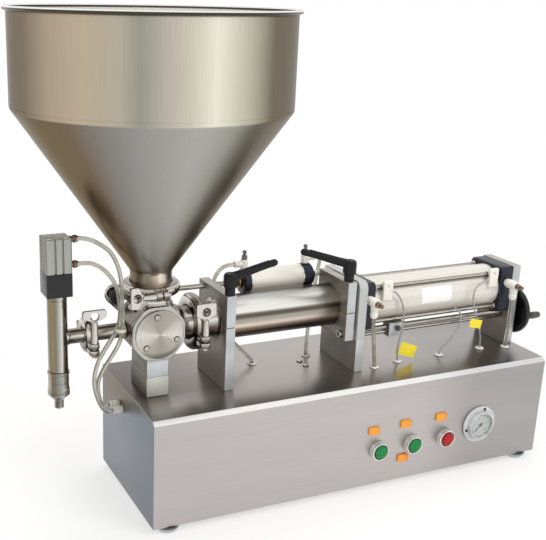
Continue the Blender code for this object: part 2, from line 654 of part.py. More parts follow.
def foot(number, x, y):
    outline = [
        (0, -FOOT_HEIGHT),
        (FOOT_FLAT_RADIUS, -FOOT_HEIGHT),
        (FOOT_DOME_RADIUS, -FOOT_DOME_DEPTH),
        (FOOT_RADIUS, -2 * GAP),
        (FOOT_RADIUS, -GAP),
        (FOOT_NECK_RADIUS, -GAP),
        (FOOT_NECK_RADIUS, SHEET / 2),
        (0, SHEET / 2),
    ]
    return turned(f"foot_{number}", outline, "Z", (x, y, 0), sides=SMALL_SIDES)


def make_bottom_cover():
    inset = SHEET + GAP
    cover = box("bottom_cover", (inset, inset, 0),
                (CABINET_LENGTH - inset, CABINET_WIDTH - inset, SHEET), "brushed")
    xs = (FOOT_INSET_X, CABINET_LENGTH - FOOT_INSET_X)
    ys = (FOOT_INSET_Y, CABINET_WIDTH - FOOT_INSET_Y)
    places = [(x, y) for x in xs for y in ys]
    for number, (x, y) in enumerate(places):
        fuse(cover, foot(number, x, y))
    return cover


def make_buttons():
    names = ("button_left", "button_middle", "button_right")
    looks = ("green", "green", "red")
    for name, look, x in zip(names, looks, button_xs()):
        front = -HOUSING_PROUD - BUTTON_PROUD
        back = -BUTTON_TRAVEL - BUTTON_FLOOR
        outline = [
            (0, front),
            (BUTTON_RADIUS - GAP, front),
            (BUTTON_RADIUS, front + GAP),
            (BUTTON_RADIUS, back),
            (BUTTON_STEM_RADIUS, back),
            (BUTTON_STEM_RADIUS, HOUSING_DEPTH),
            (0, HOUSING_DEPTH),
        ]
        turned(name, outline, "Y", (x, 0, PANEL_BUTTON_Z), look, SMALL_SIDES)


def make_gauge():
    dial = -GAUGE_PROUD + GAUGE_DIAL_DEPTH
    outline = [
        (0, dial),
        (GAUGE_DIAL_RADIUS, dial),
        (GAUGE_DIAL_RADIUS, -GAUGE_PROUD),
        (GAUGE_BEZEL_RADIUS, -GAUGE_PROUD),
        (GAUGE_BEZEL_RADIUS, -GAP - GAUGE_FLANGE_THICK),
        (GAUGE_FLANGE_RADIUS, -GAP - GAUGE_FLANGE_THICK),
        (GAUGE_FLANGE_RADIUS, -GAP),
        (GAUGE_CASE_RADIUS, -GAP),
        (GAUGE_CASE_RADIUS, GAUGE_CASE_DEPTH),
        (0, GAUGE_CASE_DEPTH),
    ]
    place = (GAUGE_X, 0, GAUGE_Z)
    turned("gauge_body", outline, "Y", place, "polished")
    back = dial - GAP
    needle = rod("gauge_needle", NEEDLE_HUB_RADIUS, back - NEEDLE_HUB_LENGTH, back, "Y",
                 place, "black", TINY_SIDES)
    side = NEEDLE_WIDTH / 2
    bar = [(-side, -NEEDLE_TAIL), (side, -NEEDLE_TAIL), (side, NEEDLE_LENGTH),
           (-side, NEEDLE_LENGTH)]
    c, s = cos(NEEDLE_ZERO), sin(NEEDLE_ZERO)
    turned_bar = [(a * c + b * s, b * c - a * s) for a, b in bar]
    middle = back - NEEDLE_HUB_LENGTH / 2
    fuse(needle, prism("needle_bar", turned_bar, middle - NEEDLE_THICK / 2,
                       middle + NEEDLE_THICK / 2, "Y", place))


# Valve

def make_pedestal():
    left = VALVE_X - PEDESTAL_WIDTH / 2
    right = left + PEDESTAL_WIDTH
    middle = PLATE_FOOT_Z + PEDESTAL_LOWER_HEIGHT
    lower = box("valve_pedestal", (left, PEDESTAL_FRONT_Y, PLATE_FOOT_Z),
                (right, PEDESTAL_BACK_Y, middle), "plate")
    upper = box("pedestal_upper",
                (left + PEDESTAL_STEP, PEDESTAL_FRONT_Y + PEDESTAL_STEP, middle - OVERRUN),
                (right - PEDESTAL_STEP, PEDESTAL_BACK_Y - PEDESTAL_STEP,
                 middle + PEDESTAL_UPPER_HEIGHT))
    fuse(lower, upper)


def octagon():
    flat_x = VALVE_HALF - VALVE_CHAMFER_X
    flat_z = VALVE_HALF - VALVE_CHAMFER_Z
    corner = [(VALVE_HALF, flat_z), (flat_x, VALVE_HALF)]
    mirrored = [(-x, z) for x, z in reversed(corner)]
    upper = corner + mirrored
    return upper + [(-x, -z) for x, z in upper]


def valve_stub(name, axis, neck, ferrule, reach, place):
    """A short neck with a ferrule that ends at reach along the axis."""
    outline = [
        (0, ROTOR_RADIUS),
        (neck, ROTOR_RADIUS),
        (neck, reach - FERRULE_THICK),
        (ferrule, reach - FERRULE_THICK),
        (ferrule, reach),
        (0, reach),
    ]
    return turned(name, outline, axis, place)


def make_valve_body():
    middle = (VALVE_X, AXIS_Y, VALVE_Z)
    body = prism("valve_body", octagon(), -VALVE_FRONT, VALVE_BACK, "Y", middle, "polished")
    flange_y = -VALVE_FRONT - VALVE_FLANGE_THICK
    fuse(body, rod("valve_flange", VALVE_FLANGE_RADIUS, flange_y, -VALVE_FRONT + OVERRUN, "Y",
                   middle, sides=TUBE_SIDES))
    fuse(body, valve_stub("hopper_stub", "Z", VALVE_NECK_RADIUS, FERRULE_RADIUS,
                          HOPPER_CLAMP_OFFSET - GAP / 2, middle))
    fuse(body, valve_stub("inlet_stub", "X", INLET_NECK_RADIUS, FERRULE_RADIUS,
                          INLET_CLAMP_OFFSET - GAP / 2, middle))
    socket_x = -VALVE_HALF + PIPE_SOCKET_DEPTH + GAP
    rear = VALVE_BACK - VALVE_REAR_WALL
    bore_outline = [
        (0, flange_y - OVERRUN),
        (ROTOR_RADIUS + GAP, flange_y - OVERRUN),
        (ROTOR_RADIUS + GAP, rear),
        (STEM_RADIUS + GAP, rear),
        (STEM_RADIUS + GAP, VALVE_BACK + OVERRUN),
        (0, VALVE_BACK + OVERRUN),
    ]
    outlet_outline = [
        (0, -VALVE_HALF - OVERRUN),
        (PIPE_RADIUS + GAP, -VALVE_HALF - OVERRUN),
        (PIPE_RADIUS + GAP, socket_x),
        (PIPE_BORE_RADIUS, socket_x),
        (PIPE_BORE_RADIUS, -ROTOR_RADIUS / 2),
        (0, -ROTOR_RADIUS / 2),
    ]
    cut(body,
        turned("rotor_bore", bore_outline, "Y", middle),
        rod("hopper_port", VALVE_PORT_RADIUS, 0, HOPPER_CLAMP_OFFSET + OVERRUN, "Z", middle),
        rod("inlet_port", VALVE_PORT_RADIUS, 0, INLET_CLAMP_OFFSET + OVERRUN, "X", middle),
        turned("outlet_port", outlet_outline, "X", middle, sides=SMALL_SIDES))
    weld(body)


def make_valve_cover():
    centre = (VALVE_X, 0, VALVE_Z)
    back = VALVE_FRONT_Y - VALVE_FLANGE_THICK - GAP
    front = back - COVER_THICK
    outline = [
        (0, front),
        (COVER_RADIUS, front),
        (COVER_RADIUS, back),
        (ROTOR_RADIUS, back),
        (ROTOR_RADIUS, back + COVER_PLUG),
        (0, back + COVER_PLUG),
    ]
    cover = turned("valve_cover", outline, "Y", centre, "brushed")
    for number in range(COVER_SCREWS):
        angle = COVER_SCREW_ANGLE + 2 * pi * number / COVER_SCREWS
        place = (VALVE_X + COVER_SCREW_CIRCLE * cos(angle), 0,
                 VALVE_Z + COVER_SCREW_CIRCLE * sin(angle))
        fuse(cover, rod(f"cover_screw_{number}", COVER_SCREW_RADIUS, front - COVER_SCREW_HEIGHT,
                        front + COVER_THICK / 2, "Y", place, sides=TINY_SIDES))


def make_rotor():
    centre = (VALVE_X, 0, VALVE_Z)
    middle = (VALVE_X, AXIS_Y, VALVE_Z)
    front = VALVE_FRONT_Y - VALVE_FLANGE_THICK - GAP + COVER_PLUG + GAP
    back = VALVE_BACK_Y - VALVE_REAR_WALL - GAP
    end = CRANK_FRONT_Y + CRANK_THICK + CRANK_PIN_HEAD_THICK
    outline = [
        (0, front),
        (ROTOR_RADIUS, front),
        (ROTOR_RADIUS, back),
        (STEM_RADIUS, back),
        (STEM_RADIUS, end),
        (0, end),
    ]
    drum = turned("valve_rotor", outline, "Y", centre, "polished")
    reach = ROTOR_RADIUS + OVERRUN
    cut(drum,
        rod("rotor_through", ROTOR_PORT_RADIUS, -reach, reach, "Z", middle),
        rod("rotor_branch", ROTOR_PORT_RADIUS, 0, reach, "X", middle))


def make_crank():
    centre = (VALVE_X, 0, VALVE_Z)
    low = CRANK_FRONT_Y
    high = CRANK_FRONT_Y + CRANK_THICK
    near = CRANK_REACH * sin(pi / 4)
    arm = prism("crank_arm", stadium((0, 0), (-CRANK_REACH, CRANK_REACH), CRANK_HALF_WIDTH),
                low, high, "Y", centre, "polished")
    slot = stadium((-near, near), (-CRANK_REACH, CRANK_REACH), CRANK_SLOT_HALF)
    cut(arm,
        prism("crank_slot", slot, low - OVERRUN, high + OVERRUN, "Y", centre),
        rod("crank_bore", STEM_RADIUS + GAP, low - OVERRUN, high + OVERRUN, "Y", centre))


def make_actuator():
    place = (0, ACTUATOR_Y, ACTUATOR_Z)
    wall = ACTUATOR_END_WALL
    end = CYLINDER_PLATE_X - GAP
    outline = [
        (ACTUATOR_ROD_RADIUS + GAP, ACTUATOR_NUT_X),
        (ACTUATOR_NUT_RADIUS, ACTUATOR_NUT_X),
        (ACTUATOR_NUT_RADIUS, ACTUATOR_FRONT_CAP_X),
        (ACTUATOR_CAP_RADIUS, ACTUATOR_FRONT_CAP_X),
        (ACTUATOR_CAP_RADIUS, ACTUATOR_TUBE_X),
        (ACTUATOR_TUBE_RADIUS, ACTUATOR_TUBE_X),
        (ACTUATOR_TUBE_RADIUS, ACTUATOR_REAR_CAP_X),
        (ACTUATOR_CAP_RADIUS, ACTUATOR_REAR_CAP_X),
        (ACTUATOR_CAP_RADIUS, ACTUATOR_END_X),
        (ACTUATOR_ROD_RADIUS, ACTUATOR_END_X),
        (ACTUATOR_ROD_RADIUS, end),
        (0, end),
        (0, ACTUATOR_END_X - wall),
        (ACTUATOR_BORE_RADIUS, ACTUATOR_END_X - wall),
        (ACTUATOR_BORE_RADIUS, ACTUATOR_FRONT_CAP_X + wall),
        (ACTUATOR_ROD_RADIUS + GAP, ACTUATOR_FRONT_CAP_X + wall),
    ]
    turned("valve_actuator", outline, "X", place, "tube")
    piston = ACTUATOR_FRONT_CAP_X + wall + GAP
    rod_outline = [
        (0, PIN_REST_X),
        (ACTUATOR_ROD_RADIUS, PIN_REST_X),
        (ACTUATOR_ROD_RADIUS, piston),
        (ACTUATOR_BORE_RADIUS - GAP, piston),
        (ACTUATOR_BORE_RADIUS - GAP, piston + ACTUATOR_PISTON_THICK),
        (0, piston + ACTUATOR_PISTON_THICK),
    ]
    shaft = turned("actuator_rod", rod_outline, "X", place, "polished", SMALL_SIDES)
    crank_back = CRANK_FRONT_Y + CRANK_THICK
    eye = [
        (0, ACTUATOR_Y - ACTUATOR_ROD_RADIUS),
        (ACTUATOR_EYE_RADIUS, ACTUATOR_Y - ACTUATOR_ROD_RADIUS),
        (ACTUATOR_EYE_RADIUS, CRANK_FRONT_Y - GAP),
        (CRANK_PIN_RADIUS, CRANK_FRONT_Y - GAP),
        (CRANK_PIN_RADIUS, crank_back + GAP),
        (CRANK_PIN_HEAD_RADIUS, crank_back + GAP),
        (CRANK_PIN_HEAD_RADIUS, crank_back + GAP + CRANK_PIN_HEAD_THICK),
        (0, crank_back + GAP + CRANK_PIN_HEAD_THICK),
    ]
    fuse(shaft, turned("rod_eye", eye, "Y", (PIN_REST_X, 0, ACTUATOR_Z), sides=SMALL_SIDES))


# Flow knobs and air fittings

def knob_outline(seat, way):
    """Knob with its stem; seat is the fitting's face, way is +1 or -1 along the axis."""
    steps = [
        (0, -KNOB_STEM_LENGTH),
        (KNOB_STEM_RADIUS, -KNOB_STEM_LENGTH),
        (KNOB_STEM_RADIUS, GAP),
        (KNOB_RADIUS, GAP),
        (KNOB_RADIUS, KNOB_BODY_LENGTH),
        (KNOB_WAIST_RADIUS, KNOB_BODY_LENGTH + KNOB_WAIST_LENGTH / 2),
        (KNOB_WAIST_RADIUS, KNOB_BODY_LENGTH + KNOB_WAIST_LENGTH),
        (KNOB_TOP_RADIUS, KNOB_BODY_LENGTH + KNOB_WAIST_LENGTH + KNOB_TOP_RADIUS / 2),
        (KNOB_TOP_RADIUS, KNOB_BODY_LENGTH + KNOB_WAIST_LENGTH + KNOB_TOP_LENGTH),
        (0, KNOB_BODY_LENGTH + KNOB_WAIST_LENGTH + KNOB_TOP_LENGTH),
    ]
    return [(r, seat + way * t) for r, t in steps]


def make_speed_valve(side, x, way):
    """Flow control on the valve's air cylinder; its port points along way in X."""
    top = SPEED_LOW_Z + SPEED_VALVE_HEIGHT
    place = (x, ACTUATOR_Y, 0)
    body = rod(f"speed_valve_{side}", SPEED_VALVE_RADIUS, SPEED_LOW_Z, top, "Z", place, "brass")
    port_z = SPEED_LOW_Z + SPEED_PORT_HEIGHT
    ends = sorted((0, way * SPEED_PORT_REACH))
    fuse(body, rod(f"speed_port_{side}", SPEED_PORT_RADIUS, ends[0], ends[1], "X",
                   (x, ACTUATOR_Y, port_z)))
    cut(body, rod(f"speed_bore_{side}", KNOB_STEM_RADIUS + GAP, top - KNOB_STEM_LENGTH - GAP,
                  top + OVERRUN, "Z", place, sides=TINY_SIDES))
    turned(f"speed_knob_{side}", knob_outline(top, 1), "Z", place, "brass", TINY_SIDES)


def make_drive_elbow(side, x):
    back = DRIVE_CAP_FRONT_Y - GAP
    front = ELBOW_FRONT_Y
    body = rod(f"drive_elbow_{side}", ELBOW_RADIUS, front, back, "Y", (x, 0, ELBOW_Z), "white")
    fuse(body, rod(f"elbow_port_{side}", ELBOW_PORT_RADIUS, ELBOW_PORT_Z, ELBOW_Z, "Z",
                   (x, ELBOW_PORT_Y, 0)))
    cut(body, rod(f"elbow_bore_{side}", KNOB_STEM_RADIUS + GAP, front - OVERRUN,
                  front + KNOB_STEM_LENGTH + GAP, "Y", (x, 0, ELBOW_Z), sides=TINY_SIDES))
    turned(f"drive_knob_{side}", knob_outline(front, -1), "Y", (x, 0, ELBOW_Z), "brass",
           TINY_SIDES)


# Tri-clamps and wing nuts

def clamp_ring(name, axis, centre, ring, ferrule, neck, width):
    half = width / 2
    groove = GAP / 2 + FERRULE_THICK + GAP
    outline = [
        (neck + CLAMP_CLEARANCE, -half),
        (ring, -half),
        (ring, half),
        (neck + CLAMP_CLEARANCE, half),
        (neck + CLAMP_CLEARANCE, groove),
        (ferrule + CLAMP_CLEARANCE, groove),
        (ferrule + CLAMP_CLEARANCE, -groove),
        (neck + CLAMP_CLEARANCE, -groove),
    ]
    return turned(name, outline, axis, centre, "polished")


def make_clamp(name, axis, centre, ring, ferrule, neck, width, lug, hub, fan, fan_half):
    """Clamp with its bolt in front of the ring and a wing nut on the bolt.

    lug, hub and fan are distances along the bolt from the ring's middle.
    The bolt of a ring about Z points to -X, that of a ring about X points to +Z.
    """
    bolt_y = centre[1] - ring - CLAMP_BOLT_STANDOFF
    bolt_axis, way = {"Z": ("X", -1), "X": ("Z", 1)}[axis]
    body = clamp_ring(name, axis, centre, ring, ferrule, neck, width)
    start = (centre[0], bolt_y, centre[2])

    def span(a, b):
        return sorted((way * a, way * b))

    def block(label, a, b, y_low, y_high, half):
        low, high = span(a, b)
        if bolt_axis == "X":
            return box(label, (start[0] + low, y_low, start[2] - half),
                       (start[0] + high, y_high, start[2] + half))
        return box(label, (start[0] - half, y_low, start[2] + low),
                   (start[0] + half, y_high, start[2] + high))

    front = bolt_y - CLAMP_LUG_REACH
    back = bolt_y + CLAMP_BOLT_STANDOFF + (ring - ferrule) / 2
    half = width / 2 - OVERRUN
    fuse(body,
         block(f"{name}_lug_a", lug - CLAMP_LUG_HALF, lug - CLAMP_LUG_SLOT / 2, front, back, half),
         block(f"{name}_lug_b", lug + CLAMP_LUG_SLOT / 2, lug + CLAMP_LUG_HALF, front, back, half))
    low, high = span(lug - CLAMP_LUG_HALF - CLAMP_BOLT_RADIUS, hub + WING_BOLT_REACH)
    fuse(body, rod(f"{name}_bolt", CLAMP_BOLT_RADIUS, low, high, bolt_axis, start,
                   sides=TINY_SIDES))

    low, high = span(hub, fan[0] + WING_OVERLAP)
    nut = rod(f"{name}_wing_nut", WING_HUB_RADIUS, low, high, bolt_axis, start, "polished",
              SMALL_SIDES)
    fan_low, fan_high = way * fan[0], way * fan[1]
    if bolt_axis == "X":
        plate = [(fan_low, -WING_NARROW), (fan_high, -fan_half), (fan_high, fan_half),
                 (fan_low, WING_NARROW)]
        window = (start[0] + (fan_low + fan_high) / 2, 0, start[2])
    else:
        plate = [(-WING_NARROW, fan_low), (-fan_half, fan_high), (fan_half, fan_high),
                 (WING_NARROW, fan_low)]
        window = (start[0], 0, start[2] + (fan_low + fan_high) / 2)
    fuse(nut, prism(f"{name}_fan", plate, -WING_THICK / 2, WING_THICK / 2, "Y", start))
    bore = span(hub - OVERRUN, hub + WING_BOLT_REACH + GAP)
    cut(nut,
        rod(f"{name}_nut_bore", CLAMP_BOLT_RADIUS + GAP, bore[0], bore[1], bolt_axis, start,
            sides=TINY_SIDES),
        rod(f"{name}_window", WING_WINDOW_RADIUS, bolt_y - WING_THICK, bolt_y + WING_THICK, "Y",
            window, sides=SMALL_SIDES))


def make_clamps():
    make_clamp("hopper_clamp", "Z", (VALVE_X, AXIS_Y, HOPPER_CLAMP_Z), CLAMP_RADIUS,
               FERRULE_RADIUS, HOPPER_NECK_RADIUS, CLAMP_WIDTH,
               HOPPER_LUG, HOPPER_HUB, HOPPER_FAN, HOPPER_FAN_HALF)
    make_clamp("inlet_clamp", "X", (INLET_CLAMP_X, AXIS_Y, VALVE_Z), CLAMP_RADIUS,
               FERRULE_RADIUS, HOPPER_NECK_RADIUS, CLAMP_WIDTH,
               INLET_LUG, INLET_HUB, INLET_FAN, INLET_FAN_HALF)
    make_clamp("outlet_clamp", "X", (OUTLET_CLAMP_X, AXIS_Y, VALVE_Z), SMALL_CLAMP_RADIUS,
               SMALL_FERRULE_RADIUS, PIPE_RADIUS, SMALL_CLAMP_WIDTH,
               OUTLET_LUG, OUTLET_HUB, OUTLET_FAN, OUTLET_FAN_HALF)


# Hopper, outlet pipe and nozzle

def make_hopper():
    low = HOPPER_CLAMP_Z + GAP / 2
    rim = HOPPER_TOP_Z - HOPPER_RIM_HEIGHT
    inner = HOPPER_RADIUS - HOPPER_WALL
    bore = HOPPER_NECK_RADIUS - HOPPER_WALL
    shift = HOPPER_WALL / 2
    outline = [
        (bore, low),
        (FERRULE_RADIUS, low),
        (FERRULE_RADIUS, low + FERRULE_THICK),
        (HOPPER_NECK_RADIUS, low + FERRULE_THICK),
        (HOPPER_NECK_RADIUS, HOPPER_NECK_TOP_Z),
        (HOPPER_RADIUS, HOPPER_CONE_TOP_Z),
        (HOPPER_RADIUS, rim),
        (HOPPER_RIM_RADIUS, rim),
        (HOPPER_RIM_RADIUS, HOPPER_TOP_Z),
        (inner, HOPPER_TOP_Z),
        (inner, HOPPER_CONE_TOP_Z + shift),
        (bore, HOPPER_NECK_TOP_Z + shift),
    ]
    turned("hopper", outline, "Z", (VALVE_X, AXIS_Y, 0), "hopper", BIG_SIDES)


def make_outlet_pipe():
    left = OUTLET_CLAMP_X + GAP / 2
    right = VALVE_X - VALVE_HALF + PIPE_SOCKET_DEPTH
    outline = [
        (PIPE_BORE_RADIUS, left),
        (SMALL_FERRULE_RADIUS, left),
        (SMALL_FERRULE_RADIUS, left + FERRULE_THICK),
        (PIPE_RADIUS, left + FERRULE_THICK),
        (PIPE_RADIUS, right),
        (PIPE_BORE_RADIUS, right),
    ]
    turned("outlet_pipe", outline, "X", (0, AXIS_Y, VALVE_Z), "polished")


def make_nozzle_body():
    place = (NOZZLE_X, AXIS_Y, 0)
    body = rod("nozzle_body", NOZZLE_RADIUS, NOZZLE_LOW_Z, NOZZLE_TOP_Z, "Z", place, "polished",
               TUBE_SIDES)
    right = OUTLET_CLAMP_X - GAP / 2
    stub = [
        (0, NOZZLE_X),
        (PIPE_RADIUS, NOZZLE_X),
        (PIPE_RADIUS, right - FERRULE_THICK),
        (SMALL_FERRULE_RADIUS, right - FERRULE_THICK),
        (SMALL_FERRULE_RADIUS, right),
        (0, right),
    ]
    fuse(body, turned("nozzle_stub", stub, "X", (0, AXIS_Y, VALVE_Z)))
    cut(body,
        rod("nozzle_bore", NOZZLE_BORE_RADIUS, NOZZLE_LOW_Z - OVERRUN,
            NOZZLE_TOP_Z - NOZZLE_TOP_WALL, "Z", place),
        rod("nozzle_stem_bore", NOZZLE_STEM_RADIUS + GAP, NOZZLE_LOW_Z, NOZZLE_TOP_Z + OVERRUN,
            "Z", place, sides=TINY_SIDES),
        rod("nozzle_port", PIPE_BORE_RADIUS, NOZZLE_X, right + OVERRUN, "X",
            (0, AXIS_Y, VALVE_Z)))


def make_nozzle_coupling():
    low = COUPLING_LOW_Z
    high = low + COUPLING_LENGTH
    outline = [
        (COUPLING_BORE_RADIUS, low),
        (COUPLING_RADIUS, low),
        (COUPLING_RADIUS, low + COUPLING_RING),
        (COUPLING_WAIST_RADIUS, low + COUPLING_RING),
        (COUPLING_WAIST_RADIUS, high - COUPLING_RING),
        (COUPLING_RADIUS, high - COUPLING_RING / 2),
        (COUPLING_RADIUS, high),
        (COUPLING_BORE_RADIUS, high),
    ]
    turned("nozzle_coupling", outline, "Z", (NOZZLE_X, AXIS_Y, 0), "polished")
    tip = [
        (TIP_BORE_RADIUS, TIP_LOW_Z),
        (TIP_RADIUS, TIP_LOW_Z),
        (TIP_RADIUS, TIP_LOW_Z + TIP_SPOUT_LENGTH),
        (COUPLING_RADIUS, TIP_TOP_Z - TIP_COLLAR),
        (COUPLING_RADIUS, TIP_TOP_Z),
        (COUPLING_BORE_RADIUS, TIP_TOP_Z),
        (COUPLING_BORE_RADIUS, TIP_LOW_Z + SEAT_LOW + SEAT_HEIGHT),
        (TIP_BORE_RADIUS, TIP_LOW_Z + SEAT_LOW),
    ]
    turned("nozzle_tip", tip, "Z", (NOZZLE_X, AXIS_Y, 0), "polished")


def slotted_square(size, slot, depth):
    """A square with a groove in the middle of each side."""
    half = size / 2
    side = [(half, -half), (half, -slot / 2), (half - depth, -slot / 2),
            (half - depth, slot / 2), (half, slot / 2)]
    outline = []
    for turn in range(4):
        c, s = ((1, 0), (0, 1), (-1, 0), (0, -1))[turn]
        outline += [(a * c - b * s, a * s + b * c) for a, b in side]
    return outline


def make_nozzle_actuator():
    place = (NOZZLE_X, AXIS_Y, 0)
    half = NOZZLE_BLOCK / 2
    square = [(-half, -half), (half, -half), (half, half), (-half, half)]
    adapter = prism("nozzle_adapter", square, ADAPTER_LOW_Z, ADAPTER_TOP_Z, "Z", place, "dark")
    cut(adapter, rod("adapter_bore", NOZZLE_STEM_RADIUS + GAP, ADAPTER_LOW_Z - OVERRUN,
                     ADAPTER_TOP_Z + OVERRUN, "Z", place, sides=TINY_SIDES))
    low, high = NOZZLE_ACTUATOR_LOW_Z, NOZZLE_ACTUATOR_TOP_Z
    outline = slotted_square(NOZZLE_BLOCK, NOZZLE_SLOT_WIDTH, NOZZLE_SLOT_DEPTH)
    block = prism("nozzle_actuator", outline, low, high, "Z", place, "tube")
    for number, z in enumerate(nozzle_port_heights()):
        fuse(block, rod(f"nozzle_fitting_{number}", PUSH_FITTING_RADIUS,
                        half - NOZZLE_SLOT_DEPTH - OVERRUN, half + PUSH_FITTING_LENGTH, "X",
                        (NOZZLE_X, AXIS_Y, z), sides=TINY_SIDES))
    cut(block,
        rod("nozzle_cylinder", NOZZLE_CYLINDER_RADIUS, low + NOZZLE_CYLINDER_WALL,
            high - NOZZLE_CYLINDER_WALL, "Z", place),
        rod("block_stem_bore", NOZZLE_STEM_RADIUS + GAP, low - OVERRUN, low + half, "Z", place,
            sides=TINY_SIDES))


def nozzle_port_heights():
    return (NOZZLE_ACTUATOR_TOP_Z - PUSH_FITTING_INSET,
            NOZZLE_ACTUATOR_LOW_Z + PUSH_FITTING_INSET + PUSH_FITTING_RADIUS / 2)


def make_nozzle_stem():
    seat = TIP_LOW_Z + SEAT_LOW
    slope = SEAT_HEIGHT / (COUPLING_BORE_RADIUS - TIP_BORE_RADIUS)
    foot_radius = TIP_BORE_RADIUS - GAP
    plug_low = seat + 2 * GAP
    plug_wide = plug_low + slope * (NOZZLE_PLUG_RADIUS - foot_radius)
    piston = NOZZLE_ACTUATOR_LOW_Z + NOZZLE_CYLINDER_WALL + GAP
    outline = [
        (0, plug_low),
        (foot_radius, plug_low),
        (NOZZLE_PLUG_RADIUS, plug_wide),
        (NOZZLE_PLUG_RADIUS, plug_wide + NOZZLE_PLUG_LENGTH),
        (NOZZLE_STEM_RADIUS, plug_wide + NOZZLE_PLUG_LENGTH + NOZZLE_STEM_RADIUS),
        (NOZZLE_STEM_RADIUS, piston),
        (NOZZLE_CYLINDER_RADIUS - GAP, piston),
        (NOZZLE_CYLINDER_RADIUS - GAP, piston + NOZZLE_PISTON_THICK),
        (0, piston + NOZZLE_PISTON_THICK),
    ]
    turned("nozzle_stem", outline, "Z", (NOZZLE_X, AXIS_Y, 0), "polished", SMALL_SIDES)


# Product cylinder, plates and levers

def make_product_cylinder():
    left = INLET_CLAMP_X + GAP / 2
    head = FRONT_PLATE_X + BARREL_HEAD_WALL
    outline = [
        (INLET_BORE_RADIUS, left),
        (FERRULE_RADIUS, left),
        (FERRULE_RADIUS, left + FERRULE_THICK),
        (INLET_NECK_RADIUS, left + FERRULE_THICK),
        (INLET_NECK_RADIUS, FRONT_PLATE_X),
        (BARREL_RADIUS, FRONT_PLATE_X),
        (BARREL_RADIUS, BARREL_END_X),
        (BARREL_BORE_RADIUS, BARREL_END_X),
        (BARREL_BORE_RADIUS, head),
        (INLET_BORE_RADIUS, head),
    ]
    turned("product_cylinder", outline, "X", (0, AXIS_Y, VALVE_Z), "polished")


def make_pistons():
    place = (0, AXIS_Y, VALVE_Z)
    low = FRONT_PLATE_X + BARREL_HEAD_WALL + GAP
    high = low + PISTON_THICK
    radius = BARREL_BORE_RADIUS - GAP
    socket = high - PISTON_SOCKET
    bore = PISTON_ROD_RADIUS + GAP
    outline = [(0, low), (radius, low)]
    for share in SEAL_SHARES:
        middle = low + PISTON_THICK * share
        start, end = middle - SEAL_GROOVE_WIDTH / 2, middle + SEAL_GROOVE_WIDTH / 2
        bottom = radius - SEAL_GROOVE_DEPTH
        outline += [(radius, start), (bottom, start), (bottom, end), (radius, end)]
    outline += [(radius, high), (bore, high), (bore, socket), (0, socket)]
    turned("product_piston", outline, "X", place, "seal")
    drive = DRIVE_TUBE_X + GAP
    rod_outline = [
        (0, socket + GAP),
        (PISTON_ROD_RADIUS, socket + GAP),
        (PISTON_ROD_RADIUS, drive),
        (DRIVE_BORE_RADIUS - GAP, drive),
        (DRIVE_BORE_RADIUS - GAP, drive + DRIVE_PISTON_THICK),
        (0, drive + DRIVE_PISTON_THICK),
    ]
    turned("piston_rod", rod_outline, "X", place, "polished")


def barrel_bore(name, low, high):
    return rod(name, BARREL_RADIUS + GAP, low - OVERRUN, high + OVERRUN, "X",
               (0, AXIS_Y, VALVE_Z), sides=TUBE_SIDES)


def plate_slit(name, x, front):
    return box(name, (x - OVERRUN, front - OVERRUN, VALVE_Z - SLIT / 2),
               (x + PLATE_THICK + OVERRUN, AXIS_Y - BARREL_BORE_RADIUS, VALVE_Z + SLIT / 2))


def stud_hole(name, x, y):
    depth = LEVER_STUD_LENGTH + GAP
    return rod(name, LEVER_STUD_RADIUS + GAP, PLATE_TOP_Z - depth, PLATE_TOP_Z + OVERRUN, "Z",
               (x + PLATE_THICK / 2, y, 0), sides=TINY_SIDES)


def make_front_plate():
    plate = box("front_clamp_plate", (FRONT_PLATE_X, FRONT_PLATE_FRONT_Y, PLATE_FOOT_Z),
                (FRONT_PLATE_X + PLATE_THICK, FRONT_PLATE_BACK_Y, PLATE_TOP_Z), "plate")
    end = FRONT_PLATE_X + PLATE_THICK
    cut(plate,
        barrel_bore("front_plate_bore", FRONT_PLATE_X, end),
        plate_slit("front_plate_slit", FRONT_PLATE_X, FRONT_PLATE_FRONT_Y),
        stud_hole("front_stud_hole", FRONT_PLATE_X, FRONT_PLATE_FRONT_Y + LEVER_FRONT_INSET),
        rod("actuator_rod_hole", ACTUATOR_ROD_RADIUS + OVERRUN, FRONT_PLATE_X - OVERRUN,
            end + OVERRUN, "X", (0, ACTUATOR_Y, ACTUATOR_Z), sides=TINY_SIDES))


def make_rear_plate():
    low = PLATE_TOP_Z - REAR_PLATE_HEIGHT
    end = REAR_PLATE_X + PLATE_THICK
    plate = box("rear_clamp_plate", (REAR_PLATE_X, REAR_PLATE_FRONT_Y, low),
                (end, REAR_PLATE_BACK_Y, PLATE_TOP_Z), "plate")
    ys = (REAR_PLATE_FRONT_Y + SPACER_INSET_Y, REAR_PLATE_BACK_Y - SPACER_INSET_Y)
    for number, y in enumerate(ys):
        fuse(plate, rod(f"plate_spacer_{number}", SPACER_RADIUS, REAR_PLATE_X - SPACER_HEAD,
                        CYLINDER_PLATE_X - GAP, "X", (0, y, low + SPACER_INSET_Z),
                        sides=TINY_SIDES))
    cut(plate,
        barrel_bore("rear_plate_bore", REAR_PLATE_X, end),
        plate_slit("rear_plate_slit", REAR_PLATE_X, REAR_PLATE_FRONT_Y),
        stud_hole("rear_stud_hole", REAR_PLATE_X, REAR_PLATE_FRONT_Y + LEVER_REAR_INSET))


